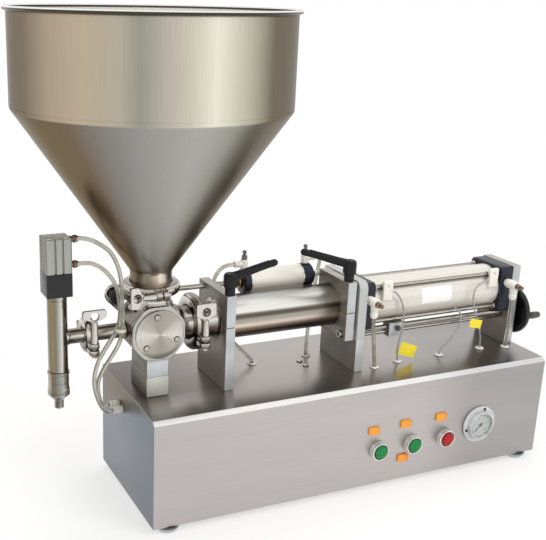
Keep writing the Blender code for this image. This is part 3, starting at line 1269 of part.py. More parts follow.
def make_cylinder_plate():
    radius = PLATE_CORNER_RADIUS
    front, back = CYLINDER_PLATE_FRONT_Y, CYLINDER_PLATE_BACK_Y
    outline = [(front, PLATE_FOOT_Z), (back, PLATE_FOOT_Z), (back, PLATE_TOP_Z)]
    for step in range(CORNER_STEPS + 1):
        angle = pi / 2 + pi / 2 * step / CORNER_STEPS
        outline.append((front + radius + radius * cos(angle),
                        PLATE_TOP_Z - radius + radius * sin(angle)))
    plate = prism("cylinder_plate", outline, CYLINDER_PLATE_X, CYLINDER_PLATE_END_X, "X",
                  (0, 0, 0), "plate")
    cut(plate, rod("rod_hole", PISTON_ROD_RADIUS + GAP, CYLINDER_PLATE_X - OVERRUN,
                   CYLINDER_PLATE_END_X + OVERRUN, "X", (0, AXIS_Y, VALVE_Z)))
    for name, radius, y, z in gear_rods():
        cut(plate, rod(f"{name}_socket_front", radius + GAP,
                       CYLINDER_PLATE_END_X - ROD_SOCKET - GAP,
                       CYLINDER_PLATE_END_X + OVERRUN, "X", (0, y, z), sides=TINY_SIDES))


def gear_rods():
    return (("guide", GUIDE_RADIUS, GUIDE_Y, GUIDE_Z), ("screw", SCREW_RADIUS, SCREW_Y, SCREW_Z))


def make_end_plate():
    front = AXIS_Y - END_PLATE_WIDTH / 2
    plate = box("end_plate", (END_PLATE_X, front, PLATE_FOOT_Z),
                (END_PLATE_END_X, front + END_PLATE_WIDTH, CABINET_HEIGHT + END_PLATE_HEIGHT),
                "plate")
    cut(plate,
        rod("guide_socket_rear", GUIDE_RADIUS + GAP, END_PLATE_X - OVERRUN,
            END_PLATE_X + ROD_SOCKET + GAP, "X", (0, GUIDE_Y, GUIDE_Z), sides=TINY_SIDES),
        rod("screw_hole", SCREW_RADIUS + GAP, END_PLATE_X - OVERRUN, END_PLATE_END_X + OVERRUN,
            "X", (0, SCREW_Y, SCREW_Z), sides=TINY_SIDES))


def make_lever(side, plate_x, front, inset, angle):
    place = (plate_x + PLATE_THICK / 2, front + inset, PLATE_TOP_Z)
    foot_top = GAP + LEVER_FOOT_HEIGHT
    top = foot_top + LEVER_HUB_HEIGHT
    outline = [
        (0, -LEVER_STUD_LENGTH),
        (LEVER_STUD_RADIUS, -LEVER_STUD_LENGTH),
        (LEVER_STUD_RADIUS, GAP),
        (LEVER_FOOT_RADIUS, GAP),
        (LEVER_FOOT_RADIUS, foot_top),
        (LEVER_HUB_RADIUS, foot_top + OVERRUN),
        (LEVER_HUB_RADIUS, top - OVERRUN),
        (LEVER_HUB_RADIUS - OVERRUN, top),
        (0, top),
    ]
    lever = turned(f"lever_{side}", outline, "Z", place, "black", SMALL_SIDES)
    length = hypot(LEVER_LENGTH, LEVER_RISE)
    tip = LEVER_GRIP_TIP_RADIUS
    grip_outline = [
        (0, 0),
        (LEVER_GRIP_ROOT_RADIUS, 0),
        (tip, length - tip),
        (tip / 2, length),
        (0, length),
    ]
    grip = turned(f"lever_grip_{side}", grip_outline, "X", place, sides=TINY_SIDES)
    grip.location.z += foot_top + LEVER_HUB_HEIGHT / 2
    grip.rotation_euler = (0, -atan2(LEVER_RISE, LEVER_LENGTH), angle)
    fuse(lever, grip)


# Drive cylinder

def chamfered_square(size, chamfer):
    half = size / 2
    inner = half - chamfer
    corner = [(half, inner), (inner, half)]
    outline = []
    for c, s in ((1, 0), (0, 1), (-1, 0), (0, -1)):
        outline += [(a * c - b * s, a * s + b * c) for a, b in corner]
    return outline


def make_drive_cylinder():
    place = (0, AXIS_Y, VALVE_Z)
    outline = chamfered_square(DRIVE_CAP_SIZE, DRIVE_CAP_CHAMFER)
    front = prism("drive_front_cap", outline, FRONT_CAP_X, FRONT_CAP_END_X, "X", place, "dark")
    offsets = (-TIE_ROD_OFFSET, TIE_ROD_OFFSET)
    for number, (y, z) in enumerate([(y, z) for y in offsets for z in offsets]):
        fuse(front, rod(f"tie_rod_{number}", TIE_ROD_RADIUS, FRONT_CAP_END_X - OVERRUN,
                        REAR_CAP_X - GAP, "X", (0, AXIS_Y + y, VALVE_Z + z), sides=TINY_SIDES))
    cut(front, rod("cap_rod_hole", PISTON_ROD_RADIUS + GAP, FRONT_CAP_X - OVERRUN,
                   FRONT_CAP_END_X + OVERRUN, "X", place))
    prism("drive_rear_cap", outline, REAR_CAP_X, REAR_CAP_END_X, "X", place, "dark")
    tube = [
        (DRIVE_BORE_RADIUS, DRIVE_TUBE_X),
        (DRIVE_TUBE_RADIUS, DRIVE_TUBE_X),
        (DRIVE_TUBE_RADIUS, DRIVE_TUBE_END_X),
        (DRIVE_BORE_RADIUS, DRIVE_TUBE_END_X),
    ]
    turned("drive_tube", tube, "X", place, "tube")


def make_sensor(side, x):
    y = AXIS_Y - SENSOR_STANDOFF
    low = VALVE_Z + SENSOR_RISE
    high_x = x + SENSOR_LENGTH
    sensor = box(f"sensor_{side}", (x, y, low), (high_x, y + SENSOR_DEPTH, low + SENSOR_HEIGHT),
                 "white")
    rod_place = (0, AXIS_Y - TIE_ROD_OFFSET, VALVE_Z + TIE_ROD_OFFSET)
    cut(sensor,
        rod(f"sensor_tube_cut_{side}", DRIVE_TUBE_RADIUS + GAP, x - OVERRUN, high_x + OVERRUN,
            "X", (0, AXIS_Y, VALVE_Z), sides=TUBE_SIDES),
        rod(f"sensor_rod_cut_{side}", TIE_ROD_RADIUS + GAP, x - OVERRUN, high_x + OVERRUN, "X",
            rod_place, sides=TINY_SIDES))


# Adjusting gear

def make_adjusting_gear():
    start = CYLINDER_PLATE_END_X - ROD_SOCKET
    rod("guide_rod", GUIDE_RADIUS, start, END_PLATE_X + ROD_SOCKET, "X", (0, GUIDE_Y, GUIDE_Z),
        "polished", TINY_SIDES)
    rim = WHEEL_RADIUS - WHEEL_RIM
    web = RIM_X + (WHEEL_WIDTH - WHEEL_WEB) / 2
    outline = [
        (0, start),
        (SCREW_RADIUS, start),
        (SCREW_RADIUS, WHEEL_X),
        (WHEEL_HUB_RADIUS, WHEEL_X),
        (WHEEL_HUB_RADIUS, web),
        (rim, web),
        (rim, RIM_X),
        (WHEEL_RADIUS, RIM_X),
        (WHEEL_RADIUS, RIM_END_X),
        (rim, RIM_END_X),
        (rim, web + WHEEL_WEB),
        (WHEEL_HUB_RADIUS, web + WHEEL_WEB),
        (WHEEL_HUB_RADIUS, WHEEL_X + WHEEL_HUB_LENGTH),
        (0, WHEEL_X + WHEEL_HUB_LENGTH),
    ]
    screw = turned("adjusting_screw", outline, "X", (0, SCREW_Y, SCREW_Z), "black")
    pin_end = HANDLE_END_X - HANDLE_END_WALL - GAP
    fuse(screw, rod("handle_pin", HANDLE_PIN_RADIUS, web + GAP, pin_end, "X",
                    (0, HANDLE_Y, HANDLE_Z), sides=TINY_SIDES))
    bore = HANDLE_PIN_RADIUS + GAP
    handle = [
        (bore, HANDLE_X),
        (HANDLE_RADIUS - OVERRUN, HANDLE_X),
        (HANDLE_RADIUS, HANDLE_X + HANDLE_RADIUS),
        (HANDLE_RADIUS, HANDLE_END_X - OVERRUN),
        (HANDLE_RADIUS - OVERRUN, HANDLE_END_X),
        (0, HANDLE_END_X),
        (0, pin_end + GAP),
        (bore, pin_end + GAP),
    ]
    turned("crank_handle", handle, "X", (0, HANDLE_Y, HANDLE_Z), "polished", SMALL_SIDES)
    x = CYLINDER_PLATE_END_X + SLIDER_OFFSET
    end = x + SLIDER_LENGTH
    slider = box("slider_block", (x, SLIDER_FRONT_Y, SLIDER_LOW_Z),
                 (end, SLIDER_FRONT_Y + SLIDER_DEPTH, SLIDER_LOW_Z + SLIDER_HEIGHT), "plate")
    for name, radius, y, z in gear_rods():
        cut(slider, rod(f"slider_{name}_bore", radius + GAP, x - OVERRUN, end + OVERRUN, "X",
                        (0, y, z), sides=TINY_SIDES))


# Hoses

def smooth_route(points, step):
    """Evenly spaced points on a Catmull-Rom curve, between two straight end runs."""
    dense = []
    for a, b, c, d in zip(points, points[1:], points[2:], points[3:]):
        for part in range(CURVE_PARTS):
            t = part / CURVE_PARTS
            dense.append(((b * 2) + (c - a) * t + (a * 2 - b * 5 + c * 4 - d) * t ** 2
                          + (b * 3 - a - c * 3 + d) * t ** 3) / 2)
    dense.append(points[-2])
    lengths = [0.0]
    for a, b in zip(dense, dense[1:]):
        lengths.append(lengths[-1] + (b - a).length)
    count = max(2, round(lengths[-1] / step))
    route = [points[0]]
    index = 0
    for number in range(count + 1):
        target = lengths[-1] * number / count
        while index < len(dense) - 2 and lengths[index + 1] < target:
            index += 1
        share = (target - lengths[index]) / (lengths[index + 1] - lengths[index])
        route.append(dense[index].lerp(dense[index + 1], share))
    return route + [points[-1]]


def make_hose(name, points):
    route = smooth_route([Vector(point) for point in points], HOSE_STEP)
    curve = bpy.data.curves.new(name, "CURVE")
    curve.dimensions = "3D"
    curve.bevel_depth = HOSE_RADIUS
    curve.bevel_resolution = HOSE_RESOLUTION
    curve.use_fill_caps = True
    spline = curve.splines.new("POLY")
    spline.points.add(len(route) - 1)
    for point, place in zip(spline.points, route):
        point.co = (*place, 1.0)
    hose = bpy.data.objects.new(name, curve)
    bpy.context.scene.collection.objects.link(hose)
    hose.parent = FRAME
    curve.materials.append(LOOKS["hose"])
    length = sum((b - a).length for a, b in zip(route, route[1:]))
    print(f"{name}: {length:.3f} m, {len(route)} points")


def scaled(points, start_x=0):
    return [(start_x + x * MM, AXIS_Y + y * MM, CABINET_HEIGHT + z * MM) for x, y, z in points]


# Each route's own points in millimetres, chosen by hand between the fittings: right of the
# fitting it starts from, behind the centre line and above the cabinet's top
NOZZLE_HOSE_A_ROUTE = scaled([
    (39, 0, 236), (54, -4, 231), (72, -12, 218), (81, -20, 199), (83, -28, 181),
    (82, -35, 163), (81, -39, 146), (80.5, -42, 129), (79, -44, 113), (75, -44, 96),
    (65, -42, 77), (55, -38, 59), (49, -31, 39), (52, -19, 16), (60, -3, -7),
    (68, 15, -23), (75, 28, -30.5),
], NOZZLE_X)
NOZZLE_HOSE_B_ROUTE = scaled([
    (41, -0.5, 201), (51, -2, 199.5), (64, -6, 192), (74, -14, 180), (80, -21, 166),
    (81, -26, 153), (81, -30, 139), (79, -33, 124), (74, -36, 111), (66, -38.5, 101),
    (56, -42, 90), (46, -44, 75), (40, -43, 56), (40, -39, 36), (46, -30, 15),
    (56, -17, -7), (67, -2, -24), (77, 12, -33.5),
], NOZZLE_X)
ACTUATOR_HOSE_FRONT_ROUTE = scaled([
    (-27, 38.5, 164), (-36, 42, 159), (-43, 46.5, 147), (-46, 48.5, 133), (-46, 49, 115),
    (-41, 49, 90), (-29, 48, 63), (-13, 45, 39), (3, 39, 21), (14, 34, 9),
], SPEED_FRONT_X)
ACTUATOR_HOSE_REAR_ROUTE = scaled([
    (25.25, 40, 163), (31.25, 45, 155), (33.25, 51, 141), (32.25, 54, 121), (28.25, 53, 95),
    (22.25, 49, 65), (15.25, 42, 35), (10.25, 35.5, 13),
], SPEED_REAR_X)
DRIVE_HOSE_FRONT_ROUTE = scaled([
    (0.1, -56, 73), (2.6, -55, 55), (7.6, -52, 33), (12.1, -49, 13),
], ELBOW_FRONT_X)
DRIVE_HOSE_REAR_ROUTE = scaled([
    (0.15, -55.5, 73), (1.15, -54, 55), (2.65, -51, 33), (3.85, -48.5, 13),
], ELBOW_REAR_X)


def into_cabinet(fitting_x, hole):
    """The end of a hose that drops through a hole in the cabinet's top."""
    heights = (CABINET_HEIGHT + HOSE_LEAD, CABINET_HEIGHT, CABINET_HEIGHT - HOSE_TAIL)
    return [(*hose_hole_place(fitting_x, hole), z) for z in heights]


def make_hoses():
    fitting_x = NOZZLE_X + NOZZLE_BLOCK / 2 + PUSH_FITTING_LENGTH + GAP
    side_x = -SIDE_FITTING_LENGTH - GAP
    upper, lower = nozzle_port_heights()
    for name, port, route, side in (
            ("nozzle_hose_a", upper, NOZZLE_HOSE_A_ROUTE, SIDE_FITTING_A),
            ("nozzle_hose_b", lower, NOZZLE_HOSE_B_ROUTE, SIDE_FITTING_B)):
        start = [(fitting_x, AXIS_Y, port), (fitting_x + HOSE_LEAD, AXIS_Y, port)]
        place = side_fitting_place(side)
        make_hose(name, start + route + [(side_x - HOSE_LEAD, *place), (side_x, *place)])
    port_z = SPEED_LOW_Z + SPEED_PORT_HEIGHT
    for side, x, way, route, hole in (
            ("front", SPEED_FRONT_X, -1, ACTUATOR_HOSE_FRONT_ROUTE, HOSE_HOLE_ACTUATOR_FRONT),
            ("rear", SPEED_REAR_X, 1, ACTUATOR_HOSE_REAR_ROUTE, HOSE_HOLE_ACTUATOR_REAR)):
        exit_x = x + way * (SPEED_PORT_REACH + GAP)
        start = [(exit_x, ACTUATOR_Y, port_z), (exit_x + way * HOSE_LEAD, ACTUATOR_Y, port_z)]
        make_hose(f"actuator_hose_{side}", start + route + into_cabinet(x, hole))
    port = ELBOW_PORT_Z - GAP
    for side, x, route, hole in (
            ("front", ELBOW_FRONT_X, DRIVE_HOSE_FRONT_ROUTE, HOSE_HOLE_DRIVE_FRONT),
            ("rear", ELBOW_REAR_X, DRIVE_HOSE_REAR_ROUTE, HOSE_HOLE_DRIVE_REAR)):
        start = [(x, ELBOW_PORT_Y, port), (x, ELBOW_PORT_Y, port - HOSE_LEAD)]
        make_hose(f"drive_hose_{side}", start + route + into_cabinet(x, hole))


make_cabinet()
make_bottom_cover()
make_buttons()
make_gauge()
make_pedestal()
make_valve_body()
make_valve_cover()
make_rotor()
make_crank()
make_actuator()
make_speed_valve("front", SPEED_FRONT_X, -1)
make_speed_valve("rear", SPEED_REAR_X, 1)
make_clamps()
make_hopper()
make_outlet_pipe()
make_nozzle_body()
make_nozzle_coupling()
make_nozzle_actuator()
make_nozzle_stem()
make_product_cylinder()
make_pistons()
make_front_plate()
make_rear_plate()
make_cylinder_plate()
make_end_plate()
make_lever("front", FRONT_PLATE_X, FRONT_PLATE_FRONT_Y, LEVER_FRONT_INSET, 0)
make_lever("rear", REAR_PLATE_X, REAR_PLATE_FRONT_Y, LEVER_REAR_INSET, LEVER_REAR_ANGLE)
make_drive_cylinder()
make_drive_elbow("front", ELBOW_FRONT_X)
make_drive_elbow("rear", ELBOW_REAR_X)
make_sensor("front", FRONT_CAP_END_X + SENSOR_FRONT_OFFSET)
make_sensor("rear", DRIVE_TUBE_END_X - SENSOR_REAR_OFFSET - SENSOR_LENGTH)
make_adjusting_gear()
make_hoses()
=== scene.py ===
from math import atan2, cos, pi, radians, sin

import bpy
from mathutils import Matrix, Vector


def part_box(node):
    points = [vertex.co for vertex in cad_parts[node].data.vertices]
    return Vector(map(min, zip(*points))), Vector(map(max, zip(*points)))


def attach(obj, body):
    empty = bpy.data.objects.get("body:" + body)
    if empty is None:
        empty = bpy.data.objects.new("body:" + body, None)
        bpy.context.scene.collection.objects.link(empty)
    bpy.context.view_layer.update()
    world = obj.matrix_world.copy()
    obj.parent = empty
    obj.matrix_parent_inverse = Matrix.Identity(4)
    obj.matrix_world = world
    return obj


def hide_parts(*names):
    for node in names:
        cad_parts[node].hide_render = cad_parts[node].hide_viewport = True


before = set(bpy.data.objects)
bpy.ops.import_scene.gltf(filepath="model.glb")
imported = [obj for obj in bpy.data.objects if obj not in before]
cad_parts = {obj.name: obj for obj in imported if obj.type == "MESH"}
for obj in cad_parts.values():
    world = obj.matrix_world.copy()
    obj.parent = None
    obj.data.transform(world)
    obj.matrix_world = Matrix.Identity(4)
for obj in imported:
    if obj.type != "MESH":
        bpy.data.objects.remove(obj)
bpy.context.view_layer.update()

# Places are in millimetres from the cabinet's front, left, lower corner: X right, Y back, Z up
mm = 0.001
mergeDistance = 0.000002
cabinet = dict(length=680.0, width=224.0, height=165.0, foldRun=6.8, foldDrop=5.5, sheet=1.5,
               footRadius=17.5, footInsetX=27.0, footInsetY=15.0)
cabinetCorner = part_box("cabinet_shell")[1] - mm * Vector(
    (cabinet["length"], cabinet["width"], cabinet["height"]))
valveX, axisY, valveZ = 36.5, 112.0, 262.0
nozzleX = -101.0
# Each axis, and a direction across it
turnAxes = {"X": (Vector((1, 0, 0)), Vector((0, 0, 1))),
            "Y": (Vector((0, 1, 0)), Vector((0, 0, 1))),
            "Z": (Vector((0, 0, 1)), Vector((1, 0, 0)))}


def at(x, y, z):
    return cabinetCorner + Vector((x, y, z)) * mm


# Camera, fitted to the photograph's view
print("camera")
view = dict(place=(-0.693, -1.1729, 0.7337), yaw=22.856, pitch=17.355, roll=1.0,
            lens=61.29, shiftX=0.1747, shiftY=0.0199)


def makeCamera():
    yaw, pitch, roll = (radians(view[key]) for key in ("yaw", "pitch", "roll"))
    forward = Vector((sin(yaw) * cos(pitch), cos(yaw) * cos(pitch), -sin(pitch)))
    right = Vector((cos(yaw), -sin(yaw), 0))
    up = right.cross(forward)
    tiltedRight = right * cos(roll) + up * sin(roll)
    tiltedUp = up * cos(roll) - right * sin(roll)
    data = bpy.data.cameras.new("photo_camera")
    data.lens = view["lens"]
    data.shift_x = view["shiftX"]
    data.shift_y = view["shiftY"]
    data.clip_end = 50.0
    camera = bpy.data.objects.new("photo_camera", data)
    bpy.context.scene.collection.objects.link(camera)
    turn = Matrix((tiltedRight, tiltedUp, -forward)).transposed()
    camera.matrix_world = Matrix.Translation(view["place"]) @ turn.to_4x4()
    bpy.context.scene.camera = camera


makeCamera()
bpy.context.scene.view_settings.view_transform = "Standard"


# Materials

def hexColour(text):
    values = [int(text[i:i + 2], 16) / 255 for i in (0, 2, 4)]
    linear = [v / 12.92 if v <= 0.04045 else ((v + 0.055) / 1.055) ** 2.4 for v in values]
    return (*linear, 1.0)


def fillRamp(ramp, stops):
    while len(ramp.elements) < len(stops):
        ramp.elements.new(0.5)
    for element, (place, colour) in zip(ramp.elements, stops):
        element.position = place
        element.color = hexColour(colour)


def addNode(look, kind, settings=()):
    # a setting is a property, a ramp's stops, or a socket by its label or number; a socket
    # takes a value, a hex colour, another node's output, or a node for its first live output
    tree = look.node_tree
    node = tree.nodes.new("ShaderNode" + kind)
    for key, value in dict(settings).items():
        if isinstance(value, bpy.types.Node):
            value = next(output for output in value.outputs if output.enabled)
        if key == "stops":
            fillRamp(node.color_ramp, value)
        elif isinstance(key, str) and hasattr(node, key):
            setattr(node, key, value)
        elif isinstance(value, bpy.types.NodeSocket):
            tree.links.new(value, node.inputs[key])
        else:
            node.inputs[key].default_value = hexColour(value) if isinstance(value, str) else value
    return node


# A Mix node's sockets: 0 is the share, 6 and 7 are the two colours
mix = {"data_type": "RGBA"}
multiply = {"data_type": "RGBA", "blend_type": "MULTIPLY", 0: 1.0}


def newLook(name):
    look = bpy.data.materials.new(name)
    look.use_nodes = True
    look.node_tree.nodes.clear()
    return look, addNode(look, "TexCoord")


def finishLook(look, colour, roughness, grain=None, bump=0.1, depth=0.0002, metallic=1.0,
               settings=()):
    # depth is the height of the grain in metres
    values = {"Base Color": colour, "Roughness": roughness, "Metallic": metallic}
    values.update(settings)
    if grain is not None:
        values["Normal"] = addNode(look, "Bump", {"Strength": bump, "Distance": depth,
                                                  "Height": grain})
    addNode(look, "OutputMaterial", {"Surface": addNode(look, "BsdfPrincipled", values)})
    return look


def addGrain(look, coords, length, width, along=0, detail=2.0):
    # noise drawn out along one axis: length and width are one streak's size in millimetres
    scale = [1 / (width * mm)] * 3
    scale[along] = 1 / (length * mm)
    mapping = addNode(look, "Mapping", {"Scale": scale, "Vector": coords.outputs["Object"]})
    return addNode(look, "TexNoise", {"Scale": 1.0, "Detail": detail, "Vector": mapping})


def grainTone(look, grain, dark):
    # white on the crests of the grain, the dark tone in its hollows
    return addNode(look, "ValToRGB", {"Fac": grain, "stops": ((0.3, dark), (0.7, "FFFFFF"))})


def armFromAxis(look, coords, centre, axis):
    # straight out from an axis of the machine to the spot
    mapping = addNode(look, "Mapping", {"Location": -at(*centre),
                                        "Vector": coords.outputs["Object"]})
    flat = [0.0 if key == axis else 1.0 for key in "XYZ"]
    return addNode(look, "VectorMath", {"operation": "MULTIPLY", 0: mapping, 1: flat})


def turnAngle(look, coords, centre, axis):
    # angle about an axis of the machine as a share of a full turn, from 0 to 1
    parts = addNode(look, "SeparateXYZ", {"Vector": armFromAxis(look, coords, centre, axis)})
    first, second = {"X": "YZ", "Y": "ZX", "Z": "XY"}[axis]
    angle = addNode(look, "Math", {"operation": "ARCTAN2", 0: parts.outputs[second],
                                   1: parts.outputs[first]})
    return addNode(look, "MapRange", {"Value": angle, "From Min": -pi, "From Max": pi})


def shareAlong(look, coords, axis, start, end):
    # how far a spot lies from one place to another along an axis of the machine, from 0 to 1
    parts = addNode(look, "SeparateXYZ", {"Vector": coords.outputs["Object"]})
    low, high = (at(place, place, place)["XYZ".index(axis)] for place in (start, end))
    return addNode(look, "MapRange", {"Value": parts.outputs[axis], "From Min": low,
                                      "From Max": high})


def upwardTone(look, coords, stops):
    # painted reflection by facing: tone by the way that the surface looks, 0 being straight down,
    # 0.5 level, 1 straight up
    facing = addNode(look, "SeparateXYZ", {"Vector": coords.outputs["Normal"]})
    up = addNode(look, "MapRange", {"Value": facing.outputs["Z"], "From Min": -1.0})
    return addNode(look, "ValToRGB", {"Fac": up, "stops": stops})


def topShare(look, coords):
    # 1 on a level top, 0 on all that slopes by more than 40 degrees
    facing = addNode(look, "SeparateXYZ", {"Vector": coords.outputs["Normal"]})
    return addNode(look, "MapRange", {"Value": facing.outputs["Z"], "From Min": 0.75})


def faceTone(look, coords, colour, front, side, top, fold=None):
    # painted reflection: sheet and plate catch another part of the room on each face, and the fold
    # a painted highlight
    facing = addNode(look, "SeparateXYZ", {"Vector": coords.outputs["Normal"]})
    sideways = addNode(look, "Math", {"operation": "ABSOLUTE", 0: facing.outputs["X"]})
    sideShare = addNode(look, "MapRange", {"Value": sideways, "From Min": 0.4,
                                           "From Max": 0.95})
    if fold:
        upright = addNode(look, "ValToRGB", {"Fac": facing.outputs["Z"], "stops": (
            (0.0, front), (0.2, front), (0.5, fold), (0.9, fold), (0.98, top))})
        tone = addNode(look, "Mix", {**mix, 0: sideShare, 6: upright, 7: side})
    else:
        tone = addNode(look, "Mix", {**mix, 0: sideShare, 6: front, 7: side})
        tone = addNode(look, "Mix", {**mix, 0: topShare(look, coords), 6: tone, 7: top})
    return addNode(look, "Mix", {**multiply, 6: tone, 7: colour})


# Where the room's shade starts and ends on the sheet and plates, in millimetres
shadeSpans = dict(behindPedestal=(45.0, 85.0), leftCorner=(126.0, 150.0), clampGap=(217.5, 218.0))


def makeBrushedSheet():
    # folded 304 sheet, number 4 finish: fine long lines, soft gloss and a painted highlight on the
    # bent edge
    look, coords = newLook("brushed_stainless_sheet")
    lines = addGrain(look, coords, 70.0, 0.6)
    wide = addGrain(look, coords, 400.0, 45.0, detail=1.0)
    tone = addNode(look, "Mix", {**multiply, 6: grainTone(look, lines, "F7F7F7"),
                                 7: grainTone(look, wide, "FAFAFA")})
    # the far third of the cabinet stands in a darker part of the room
    length = shareAlong(look, coords, "X", 0, cabinet["length"])
    far = addNode(look, "ValToRGB", {"Fac": length, "stops": (
        (0.0, "FFFFFF"), (0.66, "FFFFFF"), (0.8, "E6E6E7"), (1.0, "E4E5E8"))})
    tone = addNode(look, "Mix", {**multiply, 6: tone, 7: far})
    colour = faceTone(look, coords, tone, "C4BFBD", "80868F", "B1ABA6", "FBFAF8")
    # painted reflection: the hopper's cone, mirrored, darkens the top behind the pedestal and
    # browns the left end's back corner
    top = topShare(look, coords)
    under = addNode(look, "Math", {"operation": "MULTIPLY", 1: top,
                                   0: shareAlong(look, coords, "Y",
                                                 *shadeSpans["behindPedestal"])})
    shadow = addNode(look, "ValToRGB", {"Fac": length, "stops": (
        (0.0, "8C8884"), (0.06, "989490"), (0.12, "BDB9B5"), (0.19, "D0CCC8"),
        (0.27, "FFFFFF"), (1.0, "FFFFFF"))})
    colour = addNode(look, "Mix", {**multiply, 0: under, 6: colour, 7: shadow})
    facing = addNode(look, "SeparateXYZ", {"Vector": coords.outputs["Normal"]})
    left = addNode(look, "MapRange", {"Value": facing.outputs["X"], "From Min": -0.95,
                                      "From Max": -0.4, "To Min": 1.0, "To Max": 0.0})
    place = addNode(look, "SeparateXYZ", {"Vector": coords.outputs["Object"]})
    slope = addNode(look, "Math", {"operation": "MULTIPLY_ADD", 0: place.outputs["Y"], 1: 0.4,
                                   2: place.outputs["Z"]})
    low, high = (at(0, 0, height).z for height in shadeSpans["leftCorner"])
    corner = addNode(look, "MapRange", {"Value": slope, "From Min": low, "From Max": high})
    brown = addNode(look, "Math", {"operation": "MULTIPLY", 0: left, 1: corner})
    colour = addNode(look, "Mix", {**multiply, 0: brown, 6: colour, 7: "E4C8A0"})
    rough = addNode(look, "Math", {"operation": "MULTIPLY_ADD", 0: top, 1: -0.08, 2: 0.36})
    return finishLook(look, colour, rough, lines, 0.05)


# Tones round the hopper as shares of a turn, 0.25 being the front: soft bands of painted
# reflection, first set after colours read off the photograph, then made fewer and rounded; those
# of the back are guesses
hopperTones = dict(
    cylinder=((0.0, "706858"), (0.04, "847868"), (0.08, "B0A08C"), (0.12, "C0B098"),
              (0.16, "B8B0A0"), (0.18, "A09C90"), (0.21, "C4BCB0"), (0.23, "D4D0BC"),
              (0.255, "F4F0DC"), (0.28, "D4D0BC"), (0.30, "B8B4A0"), (0.33, "787060"),
              (0.43, "68645C"), (0.48, "A9A498"), (0.55, "C9C4B8"), (0.62, "B3ADA0"),
              (0.7, "D8D3C8"), (0.78, "BCB6A9"), (0.87, "A29B8D"), (0.95, "8E8675"),
              (1.0, "706858")),
    cone=((0.0, "786C54"), (0.05, "706044"), (0.1, "786854"), (0.14, "888480"),
          (0.18, "9C9C98"), (0.24, "B0B0AC"), (0.28, "A8A8A0"), (0.32, "847C70"),
          (0.36, "706860"), (0.43, "706860"), (0.5, "9E988F"), (0.56, "B7B2AA"),
          (0.65, "A29C93"), (0.74, "C2BDB4"), (0.84, "A09A8F"), (0.94, "867C6A"),
          (1.0, "786C54")),
    neck=((0.0, "888070"), (0.08, "786C58"), (0.12, "807868"), (0.15, "A4A090"),
          (0.2, "C8BCB0"), (0.255, "FFF4E8"), (0.3, "D8D0C0"), (0.34, "9C9890"),
          (0.45, "908C84"), (0.6, "A8A296"), (1.0, "888070")),
    # from the rim down: a painted shadow line under the rolled edge, then the inside painted
    # bright as a reflection
    inside=((0.0, "F8F6F1"), (0.74, "FFFDF8"), (0.8, "6A645D"), (1.0, "45403B")))


# Heights between which the hopper's tones change, in millimetres
hopperHeights = dict(neck=(349.0, 351.0), cone=(571.5, 573.5), shade=(350.0, 480.0),
                     rim=(686.0, 702.0))


def makeHopperSheet():
    # rolled and welded 304 sheet, satin brushed: soft upright bands of painted reflection, other
    # ones on the cone
    look, coords = newLook("rolled_stainless_hopper")
    angle = turnAngle(look, coords, (valveX, axisY, 0), "Z")
    tones = {key: addNode(look, "ValToRGB", {"Fac": angle, "stops": hopperTones[key]})
             for key in ("cylinder", "cone", "neck")}
    heights = {key: shareAlong(look, coords, "Z", *span) for key, span in hopperHeights.items()}
    bands = addNode(look, "Mix", {**mix, 0: heights["neck"], 6: tones["neck"], 7: tones["cone"]})
    bands = addNode(look, "Mix", {**mix, 0: heights["cone"], 6: bands, 7: tones["cylinder"]})
    # painted shade: the cone a little darker towards the neck
    low = addNode(look, "ValToRGB", {"Fac": heights["shade"],
                                     "stops": ((0.0, "F8F5F0"), (1.0, "FFFFFF"))})
    bands = addNode(look, "Mix", {**multiply, 6: bands, 7: low})
    # surfaces that look at the axis are the inside
    outward = addNode(look, "VectorMath", {
        "operation": "DOT_PRODUCT", 1: coords.outputs["Normal"],
        0: armFromAxis(look, coords, (valveX, axisY, 0), "Z")})
    within = addNode(look, "MapRange", {"Value": outward, "From Min": -0.01, "From Max": 0.01,
                                        "To Min": 1.0, "To Max": 0.0})
    inside = addNode(look, "ValToRGB", {"Fac": heights["rim"], "stops": hopperTones["inside"]})
    bands = addNode(look, "Mix", {**mix, 0: within, 6: bands, 7: inside})
    lines = addGrain(look, coords, 60.0, 1.0, along=2)
    tone = addNode(look, "Mix", {**multiply, 6: bands, 7: grainTone(look, lines, "F7F6F5")})
    return finishLook(look, tone, 0.30, lines, 0.04,
                      settings={"Specular Tint": hexColour("E2DED7")})


def makePolishedSteel():
    # electropolished 316 castings and ferrules: mirror gloss with slightly wavy highlights, and
    # painted reflection in bands by the way that the surface faces
    look, coords = newLook("polished_stainless_casting")
    wave = addGrain(look, coords, 9.0, 9.0)
    up = upwardTone(look, coords, (
        (0.0, "5E574E"), (0.22, "8E867C"), (0.42, "5A5249"), (0.52, "A39C93"), (0.64, "EDEAE4"),
        (0.75, "A8A198"), (0.84, "D6D2CB"), (0.93, "857E75"), (1.0, "A29B92")))
    tone = addNode(look, "Mix", {**multiply, 6: up, 7: grainTone(look, wave, "F0EFED")})
    return finishLook(look, tone, 0.17, wave, 0.03, 0.0005)


def makeDomeSteel():
    # deep-drawn foot: a mirror dome with painted reflection, dark where it looks up at the
    # cabinet, bright low down
    look, coords = newLook("polished_stainless_dome")
    tone = upwardTone(look, coords, (
        (0.0, "4E5256"), (0.12, "5A5E62"), (0.22, "9DA2A6"), (0.32, "D2D6D9"),
        (0.42, "7E8387"), (0.5, "55595D"), (1.0, "5F6468")))
    return finishLook(look, tone, 0.2)


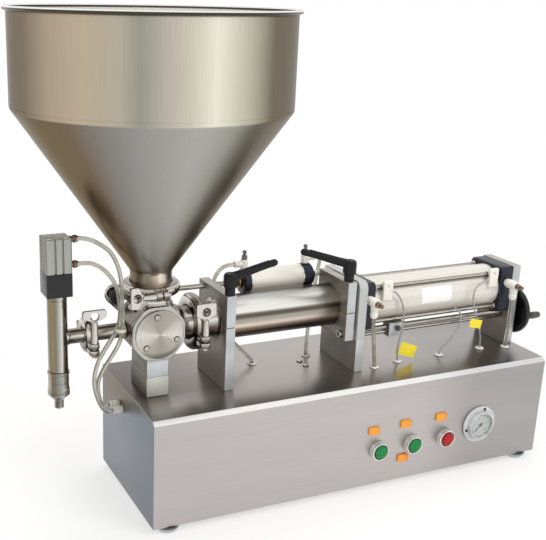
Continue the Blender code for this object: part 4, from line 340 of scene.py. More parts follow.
def makeRimSteel():
    # sheet rolled over a wire: painted shade below, and a painted highlight line on top
    look, coords = newLook("rolled_stainless_rim")
    tone = upwardTone(look, coords, (
        (0.0, "5B5650"), (0.3, "47423B"), (0.5, "3E3932"), (0.6, "6B655D"), (0.68, "E6E3DC"),
        (0.8, "FFFFFF"), (0.92, "EDEAE4"), (1.0, "A6A19A")))
    return finishLook(look, tone, 0.25)


def makeWingSteel():
    # cast wing nut, tumbled: painted light, bright on the flats and darker on the rounded edges
    look, coords = newLook("tumbled_stainless_wing")
    facing = addNode(look, "SeparateXYZ", {"Vector": coords.outputs["Normal"]})
    flat = addNode(look, "Math", {"operation": "ABSOLUTE", 0: facing.outputs["Y"]})
    tone = addNode(look, "ValToRGB", {"Fac": flat, "stops": (
        (0.0, "4C4842"), (0.35, "7A756E"), (0.7, "A6A19A"), (0.93, "CBC7C1"), (1.0, "DAD7D2"))})
    return finishLook(look, tone, 0.24)


def makeCastBlock():
    # satin cast block behind the polished front: painted reflection on each face, brown-grey
    # flanks and lighter bevels
    look, coords = newLook("satin_stainless_block")
    grain = addGrain(look, coords, 5.0, 5.0)
    colour = faceTone(look, coords, grainTone(look, grain, "E8E7E5"), "CBCAC5", "655A4D", "958D80")
    return finishLook(look, colour, 0.28, grain, 0.05)


def makeBandedTube(name, centre, axis, stops, streak, roughness=0.20):
    # polished round part: sharp bands run along it, one for each thing that it mirrors
    look, coords = newLook(name)
    bands = addNode(look, "ValToRGB", {"Fac": turnAngle(look, coords, centre, axis),
                                       "stops": stops})
    lines = addGrain(look, coords, *streak)
    tone = addNode(look, "Mix", {**multiply, 6: bands, 7: grainTone(look, lines, "EEEDEB")})
    return finishLook(look, tone, roughness, lines, 0.02)


# Bands of painted reflection as shares of a turn, set in the same way: round the product cylinder,
# the nozzle tube and its coupling
tubeTones = dict(
    barrel=((0.0, "B8B0A8"), (0.03, "F8E8D8"), (0.05, "CCB8A8"), (0.07, "9C9080"),
            (0.09, "605448"), (0.12, "686058"), (0.18, "605850"), (0.5, "9D978F"),
            (0.69, "A8A298"), (0.75, "767270"), (0.79, "C0C0C0"), (0.82, "CBCCC6"),
            (0.85, "F2F2EC"), (0.925, "FAFAF5"), (0.94, "8A8279"), (0.95, "665E57"),
            (0.965, "6E665E"), (0.98, "ABA69D"), (1.0, "B8B0A8")),
    nozzle=((0.0, "B0B0A4"), (0.04, "98907C"), (0.08, "887C64"), (0.12, "94886C"),
            (0.16, "887C68"), (0.19, "8C8878"), (0.22, "A8A8A4"), (0.28, "E0DCD4"),
            (0.3, "ACA8A0"), (0.32, "746C64"), (0.36, "908C80"), (0.44, "686460"),
            (0.5, "5C5952"), (0.75, "9A948A"), (1.0, "B0B0A4")),
    coupling=((0.0, "C0B8B0"), (0.07, "ACA49C"), (0.11, "7C705C"), (0.15, "807464"),
              (0.2, "909088"), (0.26, "ACACA8"), (0.3, "C8C8C0"), (0.33, "E0DCD0"),
              (0.38, "A8A090"), (0.46, "706857"), (0.75, "9A948A"), (1.0, "C0B8B0")))


def makeTurnedSteel():
    # faced on a lathe: fine rings and two painted highlight wedges across them
    look, coords = newLook("turned_stainless_face")
    centre = (valveX, axisY, valveZ)
    distance = addNode(look, "VectorMath", {"operation": "LENGTH",
                                            0: armFromAxis(look, coords, centre, "Y")})
    rings = addNode(look, "TexNoise", {"noise_dimensions": "1D", "Scale": 1 / (0.9 * mm),
                                       "Detail": 2.0, "W": distance})
    highlightWedges = addNode(look, "ValToRGB", {"Fac": turnAngle(look, coords, centre, "Y"), "stops": (
        (0.0, "ADA9A1"), (0.10, "BCB7AE"), (0.20, "DAD6CE"), (0.27, "E8E5DE"),
        (0.34, "CAC5BC"), (0.45, "B1ACA4"), (0.6, "BCB7AF"), (0.70, "DDD9D1"),
        (0.77, "E9E6E0"), (0.85, "C0BBB2"), (1.0, "ADA9A1"))})
    highlightWedges.color_ramp.interpolation = "EASE"
    tone = addNode(look, "Mix", {**multiply, 6: highlightWedges, 7: grainTone(look, rings, "DDDCDA")})
    return finishLook(look, tone, 0.27, rings, 0.08)


def makePlateAluminium(name, front, side, top, metallic=1.0, behind=None):
    # milled plate with a bead-blasted, clear anodised skin: matt, with painted reflection on each
    # face, cool on the edges facing front
    look, coords = newLook(name)
    grit = addGrain(look, coords, 0.8, 0.8, detail=3.0)
    cloud = addGrain(look, coords, 35.0, 35.0)
    grain = addNode(look, "Mix", {**multiply, 6: grainTone(look, grit, "E6E6E6"),
                                  7: grainTone(look, cloud, "E9E6E2")})
    colour = faceTone(look, coords, grain, front, side, top)
    if behind:
        # painted light: the upper part stands in the narrow gap behind the clamping plate and gets
        # a lighter tone there
        gap = shareAlong(look, coords, "Z", *shadeSpans["clampGap"])
        colour = addNode(look, "Mix", {**mix, 0: gap, 6: colour, 7: behind})
    return finishLook(look, colour, 0.42, grit, 0.12, metallic=metallic)


def makeExtrusion():
    # sawn and anodised cylinder profile: drawn lines up its sides, painted shade inside the
    # grooves, painted reflection on each face
    look, coords = newLook("anodised_aluminium_profile")
    lines = addGrain(look, coords, 40.0, 0.7, along=2)
    arm = addNode(look, "SeparateXYZ", {
        "Vector": armFromAxis(look, coords, (nozzleX, axisY, 0), "Z")})
    reach = [addNode(look, "Math", {"operation": "ABSOLUTE", 0: arm.outputs[key]})
             for key in ("X", "Y")]
    furthest = addNode(look, "Math", {"operation": "MAXIMUM", 0: reach[0], 1: reach[1]})
    face = addNode(look, "MapRange", {"Value": furthest, "From Min": 16.5 * mm,
                                      "From Max": 17.6 * mm})
    shade = addNode(look, "Mix", {**mix, 0: face, 6: "C6C6C2", 7: "FFFFFF"})
    fine = addNode(look, "Mix", {**multiply, 6: grainTone(look, lines, "E6E5E2"), 7: shade})
    colour = faceTone(look, coords, fine, "B4B6AF", "7C7A6A", "A09C86")
    return finishLook(look, colour, 0.34, lines, 0.05)


def makePlainFinish(name, colour, roughness, metallic, grain, shade="DDDDDD", bump=0.1,
                    settings=()):
    # moulded or plated surface: one colour, a little uneven, with grain of the given size in mm
    look, coords = newLook(name)
    fine = addGrain(look, coords, *grain, detail=3.0)
    tone = addNode(look, "Mix", {**multiply, 6: colour, 7: grainTone(look, fine, shade)})
    rough = addNode(look, "MapRange", {"Value": fine, "From Min": 0.3, "From Max": 0.7,
                                       "To Min": roughness - 0.04, "To Max": roughness + 0.04})
    return finishLook(look, tone, rough, fine, bump, metallic=metallic, settings=settings)


def makeLens(name, colour):
    # moulded acrylic cap with a pebbled back: dark cells between bright dots
    look, coords = newLook(name)
    mapping = addNode(look, "Mapping", {"Scale": [1 / (2.6 * mm)] * 3,
                                        "Vector": coords.outputs["Object"]})
    cells = addNode(look, "TexVoronoi", {"Scale": 1.0, "Randomness": 0.25, "Vector": mapping})
    dots = addNode(look, "ValToRGB", {"Fac": cells, "stops": ((0.15, "FFFFFF"),
                                                              (0.5, "8F8F8F"))})
    tone = addNode(look, "Mix", {**multiply, 6: colour, 7: dots})
    # painted shade round the edge, where the cap turns away from the front
    normal = addNode(look, "SeparateXYZ", {"Vector": coords.outputs["Normal"]})
    facing = addNode(look, "MapRange", {"Value": normal.outputs["Y"], "From Min": -0.97,
                                        "From Max": -0.6, "To Min": 1.0, "To Max": 0.0})
    edge = addNode(look, "Mix", {**multiply, 6: tone, 7: "8A8A8A"})
    tone = addNode(look, "Mix", {**mix, 0: facing, 6: edge, 7: tone})
    return finishLook(look, tone, 0.3, cells, 0.25, 0.0005, 0.0,
                      {"Coat Weight": 0.15, "Coat Roughness": 0.1, "Specular IOR Level": 0.25})


def makeGlass():
    # flat gauge window
    look = newLook("gauge_window_glass")[0]
    return finishLook(look, hexColour("F4F8F8"), 0.03, metallic=0.0,
                      settings={"IOR": 1.45, "Transmission Weight": 1.0})


def makeHoseLook():
    # natural polyurethane tube: milky, glossy, lets light through
    look, coords = newLook("natural_polyurethane_hose")
    haze = addGrain(look, coords, 14.0, 14.0)
    tone = addNode(look, "ValToRGB", {"Fac": haze, "stops": ((0.3, "B4B0A2"), (0.7, "D2CFC3"))})
    return finishLook(look, tone, 0.16, haze, 0.03, 0.0002, 0.0, {
        "IOR": 1.5, "Transmission Weight": 0.8, "Coat Weight": 0.3, "Coat Roughness": 0.1})


# Plain finishes: slot, material, colour, roughness, metallic, the grain's length and width in
# millimetres, its dark tone, its bump, and other settings
plainFinishes = {
    # ground screws and rods: bright, with fine lines
    "bright": ("polished_stainless", "bright_ground_steel", "D9D6D0", 0.16, 1.0, (25.0, 0.9),
               "C9C6C0"),
    # plated rings and straps: nearly a mirror
    "chrome": ("polished_stainless", "bright_chromium_plate", "F4F3EF", 0.12, 1.0, (12.0, 12.0),
               "D2D1CC", 0.03),
    # drawn aluminium tube with a clear anodised skin: warm grey, softly streaked
    "tube": ("anodised_tube", "clear_anodised_tube", "DEDAD3", 0.28, 0.35, (260.0, 7.0),
             "F4F2EF", 0.01),
    # the small cylinder's skin: pale and even
    "cream": ("anodised_tube", "cream_anodised_tube", "EBE8DF", 0.33, 0.35, (40.0, 1.2),
              "F0EEEA"),
    # die-cast caps with an anodised skin: blue-black, finely rough
    "navy": ("black_anodised", "black_anodised_casting", "262A36", 0.36, 0.35, (1.2, 1.2),
             "B5B5B5", 0.2),
    # glass-filled nylon levers: black and satin
    "nylon": ("black_plastic", "black_nylon_lever", "0F0F11", 0.48, 0.0, (1.0, 1.0), "C0C0C0",
              0.25, {"Specular IOR Level": 0.35}),
    # lacquered handwheel, adapter and nuts: black with a soft gloss
    "blackSteel": ("black_steel", "black_lacquered_iron", "101114", 0.30, 0.0, (2.0, 2.0),
                   "BFBFBF", 0.12),
    # crank handle and small screws: a dark mirror
    "darkChrome": ("polished_stainless", "dark_chromium_plate", "6E6C6B", 0.14, 1.0, (9.0, 9.0),
                   "A0A0A0", 0.03),
    # moulded acetal fittings: white and slightly glossy
    "white": ("white_plastic", "white_acetal_moulding", "E7E4DA", 0.38, 0.0, (1.2, 1.2),
              "F0F0F0"),
    # moulded rubber grommets: white and dull
    "grommet": ("white_plastic", "white_rubber_grommet", "E9E7E1", 0.55, 0.0, (0.8, 0.8),
                "E6E6E6"),
    # the nut on the small cylinder's nose: yellow where the nickel is thin
    "brass": ("nickelled_brass", "nickelled_brass_turning", "B49A6A", 0.25, 1.0, (6.0, 6.0),
              "B5A68E"),
    # worn plate: grey on the small knobs, brown on the large ones
    "nickel": ("nickelled_brass", "worn_nickel_plate", "928D87", 0.24, 1.0, (5.0, 5.0),
               "A9A5A0"),
    "brownNickel": ("nickelled_brass", "brown_nickel_plate", "A48F7B", 0.26, 1.0, (5.0, 5.0),
                    "A89C90"),
    # extruded and printed vinyl: even and half matt
    "cable": ("black_plastic", "grey_vinyl_cable", "A6A59F", 0.45, 0.0, (3.0, 3.0), "DADADA"),
    "orange": ("white_plastic", "orange_vinyl_label", "F2A33C", 0.45, 0.0, (1.5, 1.5), "EFE6DC",
               0.03),
    "yellow": ("white_plastic", "yellow_vinyl_tag", "F4E132", 0.42, 0.0, (2.0, 2.0), "EDEBDD",
               0.03),
    "labelPlate": ("white_plastic", "white_vinyl_plate", "F0EFEC", 0.35, 0.0, (2.5, 2.5),
                   "F1F1F1", 0.02),
    # moulded nylon tie: pale and waxy
    "tie": ("black_plastic", "pale_nylon_tie", "D3CFC1", 0.40, 0.0, (1.0, 1.0), "D5D0C4"),
    # enamelled gauge face and case, and the grey ink of its scale and needle
    "dial": ("white_plastic", "white_enamel_dial", "F1F0EA", 0.30, 0.0, (3.0, 3.0), "F2F2F0",
             0.02),
    "greyInk": ("black_plastic", "grey_printing_ink", "8B8B8D", 0.5, 0.0, (0.8, 0.8), "DCDCDC",
                0.02),
    # moulded gauge flange: pale grey under a gloss
    "gaugeRing": ("white_plastic", "clear_polycarbonate_flange", "C9CACC", 0.18, 0.0, (8.0, 8.0),
                  "DFE0DF", 0.03, {"Coat Weight": 0.5, "Coat Roughness": 0.08}),
    # turned seals: white, with fine rings
    "ptfe": ("white_ptfe", "white_ptfe_turning", "EDEDE8", 0.4, 0.0, (5.0, 0.8), "EEEEEE"),
}

print("materials")
# Each look is a material and the name of its slot
looks = {
    "sheet": (makeBrushedSheet(), "brushed_stainless"),
    "hopper": (makeHopperSheet(), "spun_stainless"),
    "rim": (makeRimSteel(), "spun_stainless"),
    "polished": (makePolishedSteel(), "polished_stainless"),
    "dome": (makeDomeSteel(), "polished_stainless"),
    "wing": (makeWingSteel(), "polished_stainless"),
    "block": (makeCastBlock(), "polished_stainless"),
    "barrel": (makeBandedTube("honed_stainless_cylinder", (0, axisY, valveZ), "X",
                              tubeTones["barrel"], (80.0, 1.5, 0), 0.33),
               "polished_stainless"),
    "nozzle": (makeBandedTube("polished_stainless_nozzle", (nozzleX, axisY, 0), "Z",
                              tubeTones["nozzle"], (40.0, 2.0, 2)), "polished_stainless"),
    "coupling": (makeBandedTube("turned_stainless_coupling", (nozzleX, axisY, 0), "Z",
                                tubeTones["coupling"], (0.5, 20.0, 2), 0.3),
                 "polished_stainless"),
    "profile": (makeExtrusion(), "anodised_tube"),
    "faced": (makeTurnedSteel(), "brushed_stainless"),
    "plate": (makePlateAluminium("blasted_aluminium_plate", "D0D3D6", "8F8982", "BEB9B1", 0.55),
              "blasted_aluminium"),
    # painted light: a copy of the plate finish with a paler front, and a lighter tone in the gap
    # behind the clamping plate
    "platePale": (makePlateAluminium("blasted_aluminium_joint", "D9DBDC", "86827C", "BEB9B1",
                                     0.4, "B9BAB8"), "blasted_aluminium"),
    # painted light and shade: the pedestal's blocks are copies of the plate finish, paler at the
    # front and darker at the sides, the upper block's front the lighter
    "pedestalLow": (makePlateAluminium("blasted_aluminium_base", "DCDED6", "6A6759", "A8A498",
                                       0.5), "blasted_aluminium"),
    "pedestalHigh": (makePlateAluminium("blasted_aluminium_riser", "E6ECF2", "706D62",
                                        "A8A498", 0.5), "blasted_aluminium"),
    "green": (makeLens("green_acrylic_lens", "03A052"), "green_lens"),
    "red": (makeLens("red_acrylic_lens", "DA0A18"), "red_lens"),
    "glass": (makeGlass(), "polished_stainless"),
    "hose": (makeHoseLook(), "natural_hose"),
}
for key, (slotName, *values) in plainFinishes.items():
    looks[key] = (makePlainFinish(*values), slotName)


# Modelling helpers: each starts with a primitive and shapes it in edit mode

def deselectAll():
    if bpy.context.object and bpy.context.object.mode != "OBJECT":
        bpy.ops.object.mode_set(mode="OBJECT")
    bpy.ops.object.select_all(action="DESELECT")


def selectWhere(parts, test):
    # selects the faces or edges that pass the test, and stays in edit mode
    bpy.ops.object.mode_set(mode="EDIT")
    bpy.ops.mesh.select_all(action="DESELECT")
    bpy.ops.object.mode_set(mode="OBJECT")
    for part in parts:
        part.select = test(part)
    bpy.ops.object.mode_set(mode="EDIT")


def startPoint(name, place):
    # a tiny plane merged to the first point of an outline
    deselectAll()
    bpy.ops.mesh.primitive_plane_add(size=mm, location=(0, 0, 0))
    piece = bpy.context.object
    piece.name = name
    bpy.ops.object.mode_set(mode="EDIT")
    bpy.ops.mesh.select_all(action="SELECT")
    bpy.ops.mesh.merge(type="CENTER")
    bpy.ops.transform.translate(value=place)
    return piece


def drawOutline(places):
    for a, b in zip(places, places[1:]):
        bpy.ops.mesh.extrude_region_move(TRANSFORM_OT_translate={"value": b - a})


def cleanShape():
    bpy.ops.mesh.select_all(action="SELECT")
    bpy.ops.mesh.remove_doubles(threshold=mergeDistance)
    bpy.ops.mesh.normals_make_consistent(inside=False)
    bpy.ops.object.mode_set(mode="OBJECT")


def turnedPiece(name, centre, axis, outline, steps=64):
    # outline holds (place along the axis, radius) pairs from the centre
    along, out = turnAxes[axis]
    middle = at(*centre)
    places = [middle + (along * a + out * r) * mm for a, r in outline]
    piece = startPoint(name, places[0])
    drawOutline(places)
    bpy.ops.mesh.select_all(action="SELECT")
    bpy.ops.mesh.spin(steps=steps, angle=2 * pi, center=middle, axis=along)
    cleanShape()
    return piece


def ringOutline(outline):
    return list(outline) + [outline[0]]


def rodOutline(start, end, radius):
    return (start, 0), (start, radius), (end, radius), (end, 0)


def threadRidges(start, count, pitch, gap, first, second, way=1):
    # two radii by turns: the second a gap after the first, and the next ridge a pitch on
    ridges = []
    for number in range(count):
        place = start + number * pitch
        ridges += [(way * place, first), (way * (place + gap), second)]
    return ridges


def cutPiece(name, outline, start, end, axis):
    # outline is drawn across the axis, filled and extruded from start to end
    def spot(a, b, t):
        return at(*{"X": (t, a, b), "Y": (a, t, b), "Z": (a, b, t)}[axis])

    places = [spot(a, b, start) for a, b in outline]
    piece = startPoint(name, places[0])
    drawOutline(places + [places[0]])
    bpy.ops.mesh.select_all(action="SELECT")
    bpy.ops.mesh.remove_doubles(threshold=mergeDistance)
    bpy.ops.mesh.edge_face_add()
    move = turnAxes[axis][0] * (end - start) * mm
    bpy.ops.mesh.extrude_region_move(TRANSFORM_OT_translate={"value": move})
    cleanShape()
    return piece


def blockPiece(name, low, high, edge=0.5, segments=3):
    deselectAll()
    middle = [(a + b) / 2 for a, b in zip(low, high)]
    size = [(b - a) * mm for a, b in zip(low, high)]
    bpy.ops.mesh.primitive_cube_add(size=1, location=at(*middle), scale=size)
    piece = bpy.context.object
    piece.name = name
    bpy.ops.object.transform_apply(location=True, rotation=True, scale=True)
    if edge:
        bpy.ops.object.mode_set(mode="EDIT")
        bpy.ops.mesh.select_all(action="SELECT")
        bpy.ops.mesh.bevel(offset=edge * mm, segments=segments, affect="EDGES")
        bpy.ops.object.mode_set(mode="OBJECT")
    return piece


def applyModifier(piece, kind, settings):
    deselectAll()
    piece.select_set(True)
    bpy.context.view_layer.objects.active = piece
    modifier = piece.modifiers.new("shape", kind)
    for key, value in settings.items():
        setattr(modifier, key, value)
    bpy.ops.object.modifier_apply(modifier=modifier.name)


def cutAway(piece, *cutters):
    for cutter in cutters:
        applyModifier(piece, "BOOLEAN", {"operation": "DIFFERENCE", "solver": "EXACT",
                                         "object": cutter})
        bpy.data.objects.remove(cutter, do_unlink=True)


def joinPieces(name, pieces):
    deselectAll()
    for piece in pieces:
        piece.select_set(True)
    bpy.context.view_layer.objects.active = pieces[0]
    bpy.ops.object.join()
    pieces[0].name = name
    return pieces[0]


def movedCopy(piece, name, move=(0, 0, 0), turn=None, about=(0, 0, 0)):
    # a copy with its own mesh, turned about a point and then moved
    twin = piece.copy()
    twin.data = piece.data.copy()
    twin.name = name
    bpy.context.scene.collection.objects.link(twin)
    shift = Matrix.Translation(Vector(move) * mm)
    if turn is not None:
        centre = at(*about)
        shift = shift @ Matrix.Translation(centre) @ turn @ Matrix.Translation(-centre)
    twin.data.transform(shift)
    return twin


def turnedBy(angle, axis):
    return Matrix.Rotation(radians(angle), 4, axis)


def finishPiece(piece, look, edge=0.3, segments=2, smooth=35.0, nodes=(), body="machine"):
    if edge:
        applyModifier(piece, "BEVEL", {"width": edge * mm, "segments": segments,
                                       "limit_method": "ANGLE",
                                       "angle_limit": radians(smooth)})
    deselectAll()
    piece.select_set(True)
    bpy.context.view_layer.objects.active = piece
    bpy.ops.object.shade_smooth_by_angle(angle=radians(smooth))
    material, slotName = looks[look]
    piece.data.materials.clear()
    piece.data.materials.append(material)
    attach(piece, body)
    if nodes:
        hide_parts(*nodes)
    return piece


def turnedPart(name, centre, axis, outline, steps, look, edge=0.3, **others):
    # a turned piece that needs no more work, with its finish
    return finishPiece(turnedPiece(name, centre, axis, outline, steps), look, edge, **others)


def dressNode(node, name, body, look, edge=0.5, segments=3, smooth=30.0):
    # a merged copy of a machined part whose shape is right, with its edges broken
    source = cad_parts[node]
    piece = source.copy()
    piece.data = source.data.copy()
    piece.parent = None
    piece.name = name
    bpy.context.scene.collection.objects.link(piece)
    piece.hide_render = False
    deselectAll()
    piece.select_set(True)
    bpy.context.view_layer.objects.active = piece
    bpy.ops.object.mode_set(mode="EDIT")
    bpy.ops.mesh.select_all(action="SELECT")
    bpy.ops.mesh.remove_doubles(threshold=mergeDistance * 5)
    bpy.ops.mesh.dissolve_limited(angle_limit=radians(1.0))
    bpy.ops.object.mode_set(mode="OBJECT")
    return finishPiece(piece, look, edge, segments, smooth, (node,), body)


def arcPoints(centre, radius, start, end, steps):
    turns = [radians(start + (end - start) * n / steps) for n in range(steps + 1)]
    return [(centre[0] + radius * cos(t), centre[1] + radius * sin(t)) for t in turns]


def panHead(name, seat, axis, way, radius, height):
    # domed screw head with a cross recess; way is the side of the seat that it stands on
    outline = [(0, radius), (0.25, radius), (0.6, radius * 0.93), (0.85, radius * 0.72),
               (1.0, radius * 0.4), (1.0, 0)]
    profile = [(0, 0)] + [(share * height * way, r) for share, r in outline]
    head = turnedPiece(name, seat, axis, profile, 24)
    slot = radius * 0.16
    reach = radius * 0.62
    deep, over = way * height * 0.45, way * height * 1.3
    a, b = sorted((deep, over))
    if axis == "Y":
        bars = [((-reach, a, -slot), (reach, b, slot)), ((-slot, a, -reach), (slot, b, reach))]
    else:
        bars = [((-reach, -slot, a), (reach, slot, b)), ((-slot, -reach, a), (slot, reach, b))]
    for low, high in bars:
        cutAway(head, blockPiece("cross_bar", [s + v for s, v in zip(seat, low)],
                                 [s + v for s, v in zip(seat, high)], 0))
    return head


def socketHead(name, seat, axis, way, radius, height, socket=0.52):
    # cap screw with a hexagon socket
    profile = [(0, 0), (0, radius), (way * (height - 0.4), radius),
               (way * height, radius - 0.4), (way * height, 0)]
    head = turnedPiece(name, seat, axis, profile, 32)
    across = radius * socket
    spots = [(across * cos(radians(60 * n + 12)), across * sin(radians(60 * n + 12)))
             for n in range(6)]
    place = {"X": (1, 2, 0), "Y": (0, 2, 1), "Z": (0, 1, 2)}[axis]
    outline = [(seat[place[0]] + a, seat[place[1]] + b) for a, b in spots]
    base = seat[place[2]]
    start, end = sorted((base + way * height * 0.4, base + way * (height + 1)))
    cutAway(head, cutPiece("hexagon", outline, start, end, axis))
    return head


def hexagonPiece(name, centre, radius, start, end, axis, turn=0.0):
    spots = [(centre[0] + radius * cos(radians(60 * n + turn)),
              centre[1] + radius * sin(radians(60 * n + turn))) for n in range(6)]
    return cutPiece(name, spots, start, end, axis)


# Hoses and cables come first: each route's points are those of the solid model, in millimetres

hose = dict(diameter=6.0, step=6.0, curveParts=12)
hoseRoutes = {
    "nozzle_hose_a": [
        (-71.7, 112, 401.6), (-66.7, 112, 401.6), (-62, 112, 401), (-47, 108, 396),
        (-29, 100, 383), (-20, 92, 364), (-18, 84, 346), (-19, 77, 328), (-20, 73, 311),
        (-20.5, 70, 294), (-22, 68, 278), (-26, 68, 261), (-36, 70, 242), (-46, 74, 224),
        (-52, 81, 204), (-49, 93, 181), (-41, 109, 158), (-33, 127, 142), (-26, 140, 134.5),
        (-19.3, 145, 133), (-14.3, 145, 133)],
    "nozzle_hose_b": [
        (-71.7, 112, 366), (-66.7, 112, 366), (-60, 111.5, 366), (-50, 110, 364.5),
        (-37, 106, 357), (-27, 98, 345), (-21, 91, 331), (-20, 86, 318), (-20, 82, 304),
        (-22, 79, 289), (-27, 76, 276), (-35, 73.5, 266), (-45, 70, 255), (-55, 68, 240),
        (-61, 69, 221), (-61, 73, 201), (-55, 82, 180), (-45, 95, 158), (-34, 110, 141),
        (-24, 124, 131.5), (-19.3, 130, 130), (-14.3, 130, 130)],
    "actuator_hose_front": [
        (185.7, 150, 329.3), (180.7, 150, 329.3), (176, 150.5, 329), (167, 154, 324),
        (160, 158.5, 312), (157, 160.5, 298), (157, 161, 280), (162, 161, 255),
        (174, 160, 228), (190, 157, 204), (206, 151, 186), (217, 146, 174),
        (220, 144.5, 170), (220, 144.5, 165), (220, 144.5, 151)],
    "actuator_hose_rear": [
        (326.05, 150, 329.3), (331.05, 150, 329.3), (334, 152, 328), (340, 157, 320),
        (342, 163, 306), (341, 166, 286), (337, 165, 260), (331, 161, 230), (324, 154, 200),
        (319, 147.5, 178), (317.7, 145.2, 170), (317.7, 145.2, 165), (317.7, 145.2, 151)],
    "drive_hose_front": [
        (380.4, 56.7, 250.7), (380.4, 56.7, 245.7), (380.5, 56, 238), (383, 57, 220),
        (388, 60, 198), (392.5, 63, 178), (394, 64, 170), (394, 64, 165), (394, 64, 151)],
    "drive_hose_rear": [
        (647.85, 56.7, 250.7), (647.85, 56.7, 245.7), (648, 56.5, 238), (649, 58, 220),
        (650.5, 61, 198), (651.7, 63.5, 178), (652, 64, 170), (652, 64, 165),
        (652, 64, 151)],
}
cable = dict(diameter=2.8, step=6.0)
cableRoutes = {
    "sensor_cable_front": [
        (424, 71.2, 284), (427, 70.8, 283), (436, 70, 273), (443, 69.5, 257), (446, 69, 238),
        (445, 68.5, 219), (441, 69, 202), (440, 70.5, 186), (442, 71.7, 174), (443, 72, 168),
        (443, 72, 155)],
    "sensor_cable_rear": [
        (607, 71.2, 282), (603, 70.8, 282.5), (592, 69.5, 281), (581, 69, 273),
        (578, 68.5, 260), (581, 68, 243), (588, 68, 225), (597, 69, 205), (604, 71, 186),
        (606.5, 73, 174), (606.5, 73, 168), (606.5, 73, 155)],
    "sensor_cable_middle": [
        (548, 74.8, 242), (550, 72.5, 240.5), (555, 70.5, 236), (558, 69.5, 227),
        (557, 69, 216), (551, 69.5, 203), (541, 70.5, 190), (531, 71.5, 180),
        (525, 72, 172.5), (523.5, 72, 167), (523.5, 72, 155)],
}


def smoothRoute(points, step):
    # evenly spaced points on a curve through the route's own points, between straight ends
    dense = []
    for a, b, c, d in zip(points, points[1:], points[2:], points[3:]):
        for part in range(hose["curveParts"]):
            t = part / hose["curveParts"]
            dense.append(((b * 2) + (c - a) * t + (a * 2 - b * 5 + c * 4 - d) * t ** 2
                          + (b * 3 - a - c * 3 + d) * t ** 3) / 2)
    dense.append(points[-2])
    lengths = [0.0]
    for a, b in zip(dense, dense[1:]):
        lengths.append(lengths[-1] + (b - a).length)
    count = max(2, round(lengths[-1] / step))
    route = [points[0]]
    index = 0
    for number in range(count + 1):
        target = lengths[-1] * number / count
        while index < len(dense) - 2 and lengths[index + 1] < target:
            index += 1
        share = (target - lengths[index]) / (lengths[index + 1] - lengths[index])
        route.append(dense[index].lerp(dense[index + 1], share))
    return route + [points[-1]]


def layCord(name, points, size, step, look, nodes=()):
    route = smoothRoute([at(*point) for point in points], step * mm)
    curve = bpy.data.curves.new(name, "CURVE")
    curve.dimensions = "3D"
    curve.bevel_depth = size * mm / 2
    curve.bevel_resolution = 5
    curve.use_fill_caps = True
    spline = curve.splines.new("POLY")
    spline.points.add(len(route) - 1)
    for point, place in zip(spline.points, route):
        point.co = (*place, 1.0)
    spline.use_smooth = True
    piece = bpy.data.objects.new(name, curve)
    bpy.context.scene.collection.objects.link(piece)
    material, slotName = looks[look]
    curve.materials.append(material)
    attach(piece, "machine")
    if nodes:
        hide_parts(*nodes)
    return piece


print("hoses and cables")
for node, points in hoseRoutes.items():
    layCord(node.replace("hose", "tube"), points, hose["diameter"], hose["step"], "hose", (node,))
for name, points in cableRoutes.items():
    layCord(name, points, cable["diameter"], cable["step"], "cable")


# Cabinet

def makeCabinet():
    print("cabinet")
    length, width, height = (cabinet[key] for key in ("length", "width", "height"))
    run, drop = cabinet["foldRun"], cabinet["foldDrop"]
    # the fold along the front is a flat between two tight bends
    outline = [(0, 0), (width, 0), (width, height), (run, height), (0, height - drop)]
    shell = cutPiece("cabinet_sheet", outline, 0, length, "X")
    selectWhere(shell.data.polygons, lambda face: face.normal.z < -0.9)
    bpy.ops.mesh.delete(type="FACE")
    bpy.ops.object.mode_set(mode="OBJECT")
    applyModifier(shell, "SOLIDIFY", {"thickness": cabinet["sheet"] * mm, "offset": -1.0})
    finishPiece(shell, "sheet", 0.8, 3, 30.0, ("cabinet_shell",))
    inset = cabinet["sheet"] + 0.3
    cover = blockPiece("bottom_plate", (inset, inset, 0),
                       (length - inset, width - inset, cabinet["sheet"]), 0.3, 1)
    finishPiece(cover, "sheet", 0, nodes=("bottom_cover",))
    insetX, insetY, radius = (cabinet[key] for key in ("footInsetX", "footInsetY", "footRadius"))
    foot = turnedPiece("foot_front_left", (insetX, insetY, 0), "Z", (
        (-10, 0), (-10, 11), (-9.6, 13.2), (-8.6, 15.0), (-6.9, 16.3), (-4.6, 17.1),
        (-2.4, 17.4), (-1.0, radius), (-0.4, radius - 0.3), (-0.4, 15), (-0.1, 15), (-0.1, 0)), 48)
    right, rear = length - 2 * insetX, width - 2 * insetY
    feet = [foot]
    for corner, move in (("front_right", (right, 0, 0)), ("rear_left", (0, rear, 0)),
                         ("rear_right", (right, rear, 0))):
        feet.append(movedCopy(foot, f"foot_{corner}", move))
    for piece in feet:
        finishPiece(piece, "dome", 0, smooth=50.0)


# Buttons, gauge and labels on the front

panel = dict(buttonXs=(366.6, 428.6, 490.6), buttonZ=58.5, gaugeX=557.4, gaugeZ=69.3,
             labels=((357.5, 92.0), (415.0, 94.0), (481.0, 94.5), (415.0, 36.0)),
             labelSize=(19.0, 12.5), labelCorner=2.2, gaugeScrews=(75, 195, 315),
             screwCircle=26.3)


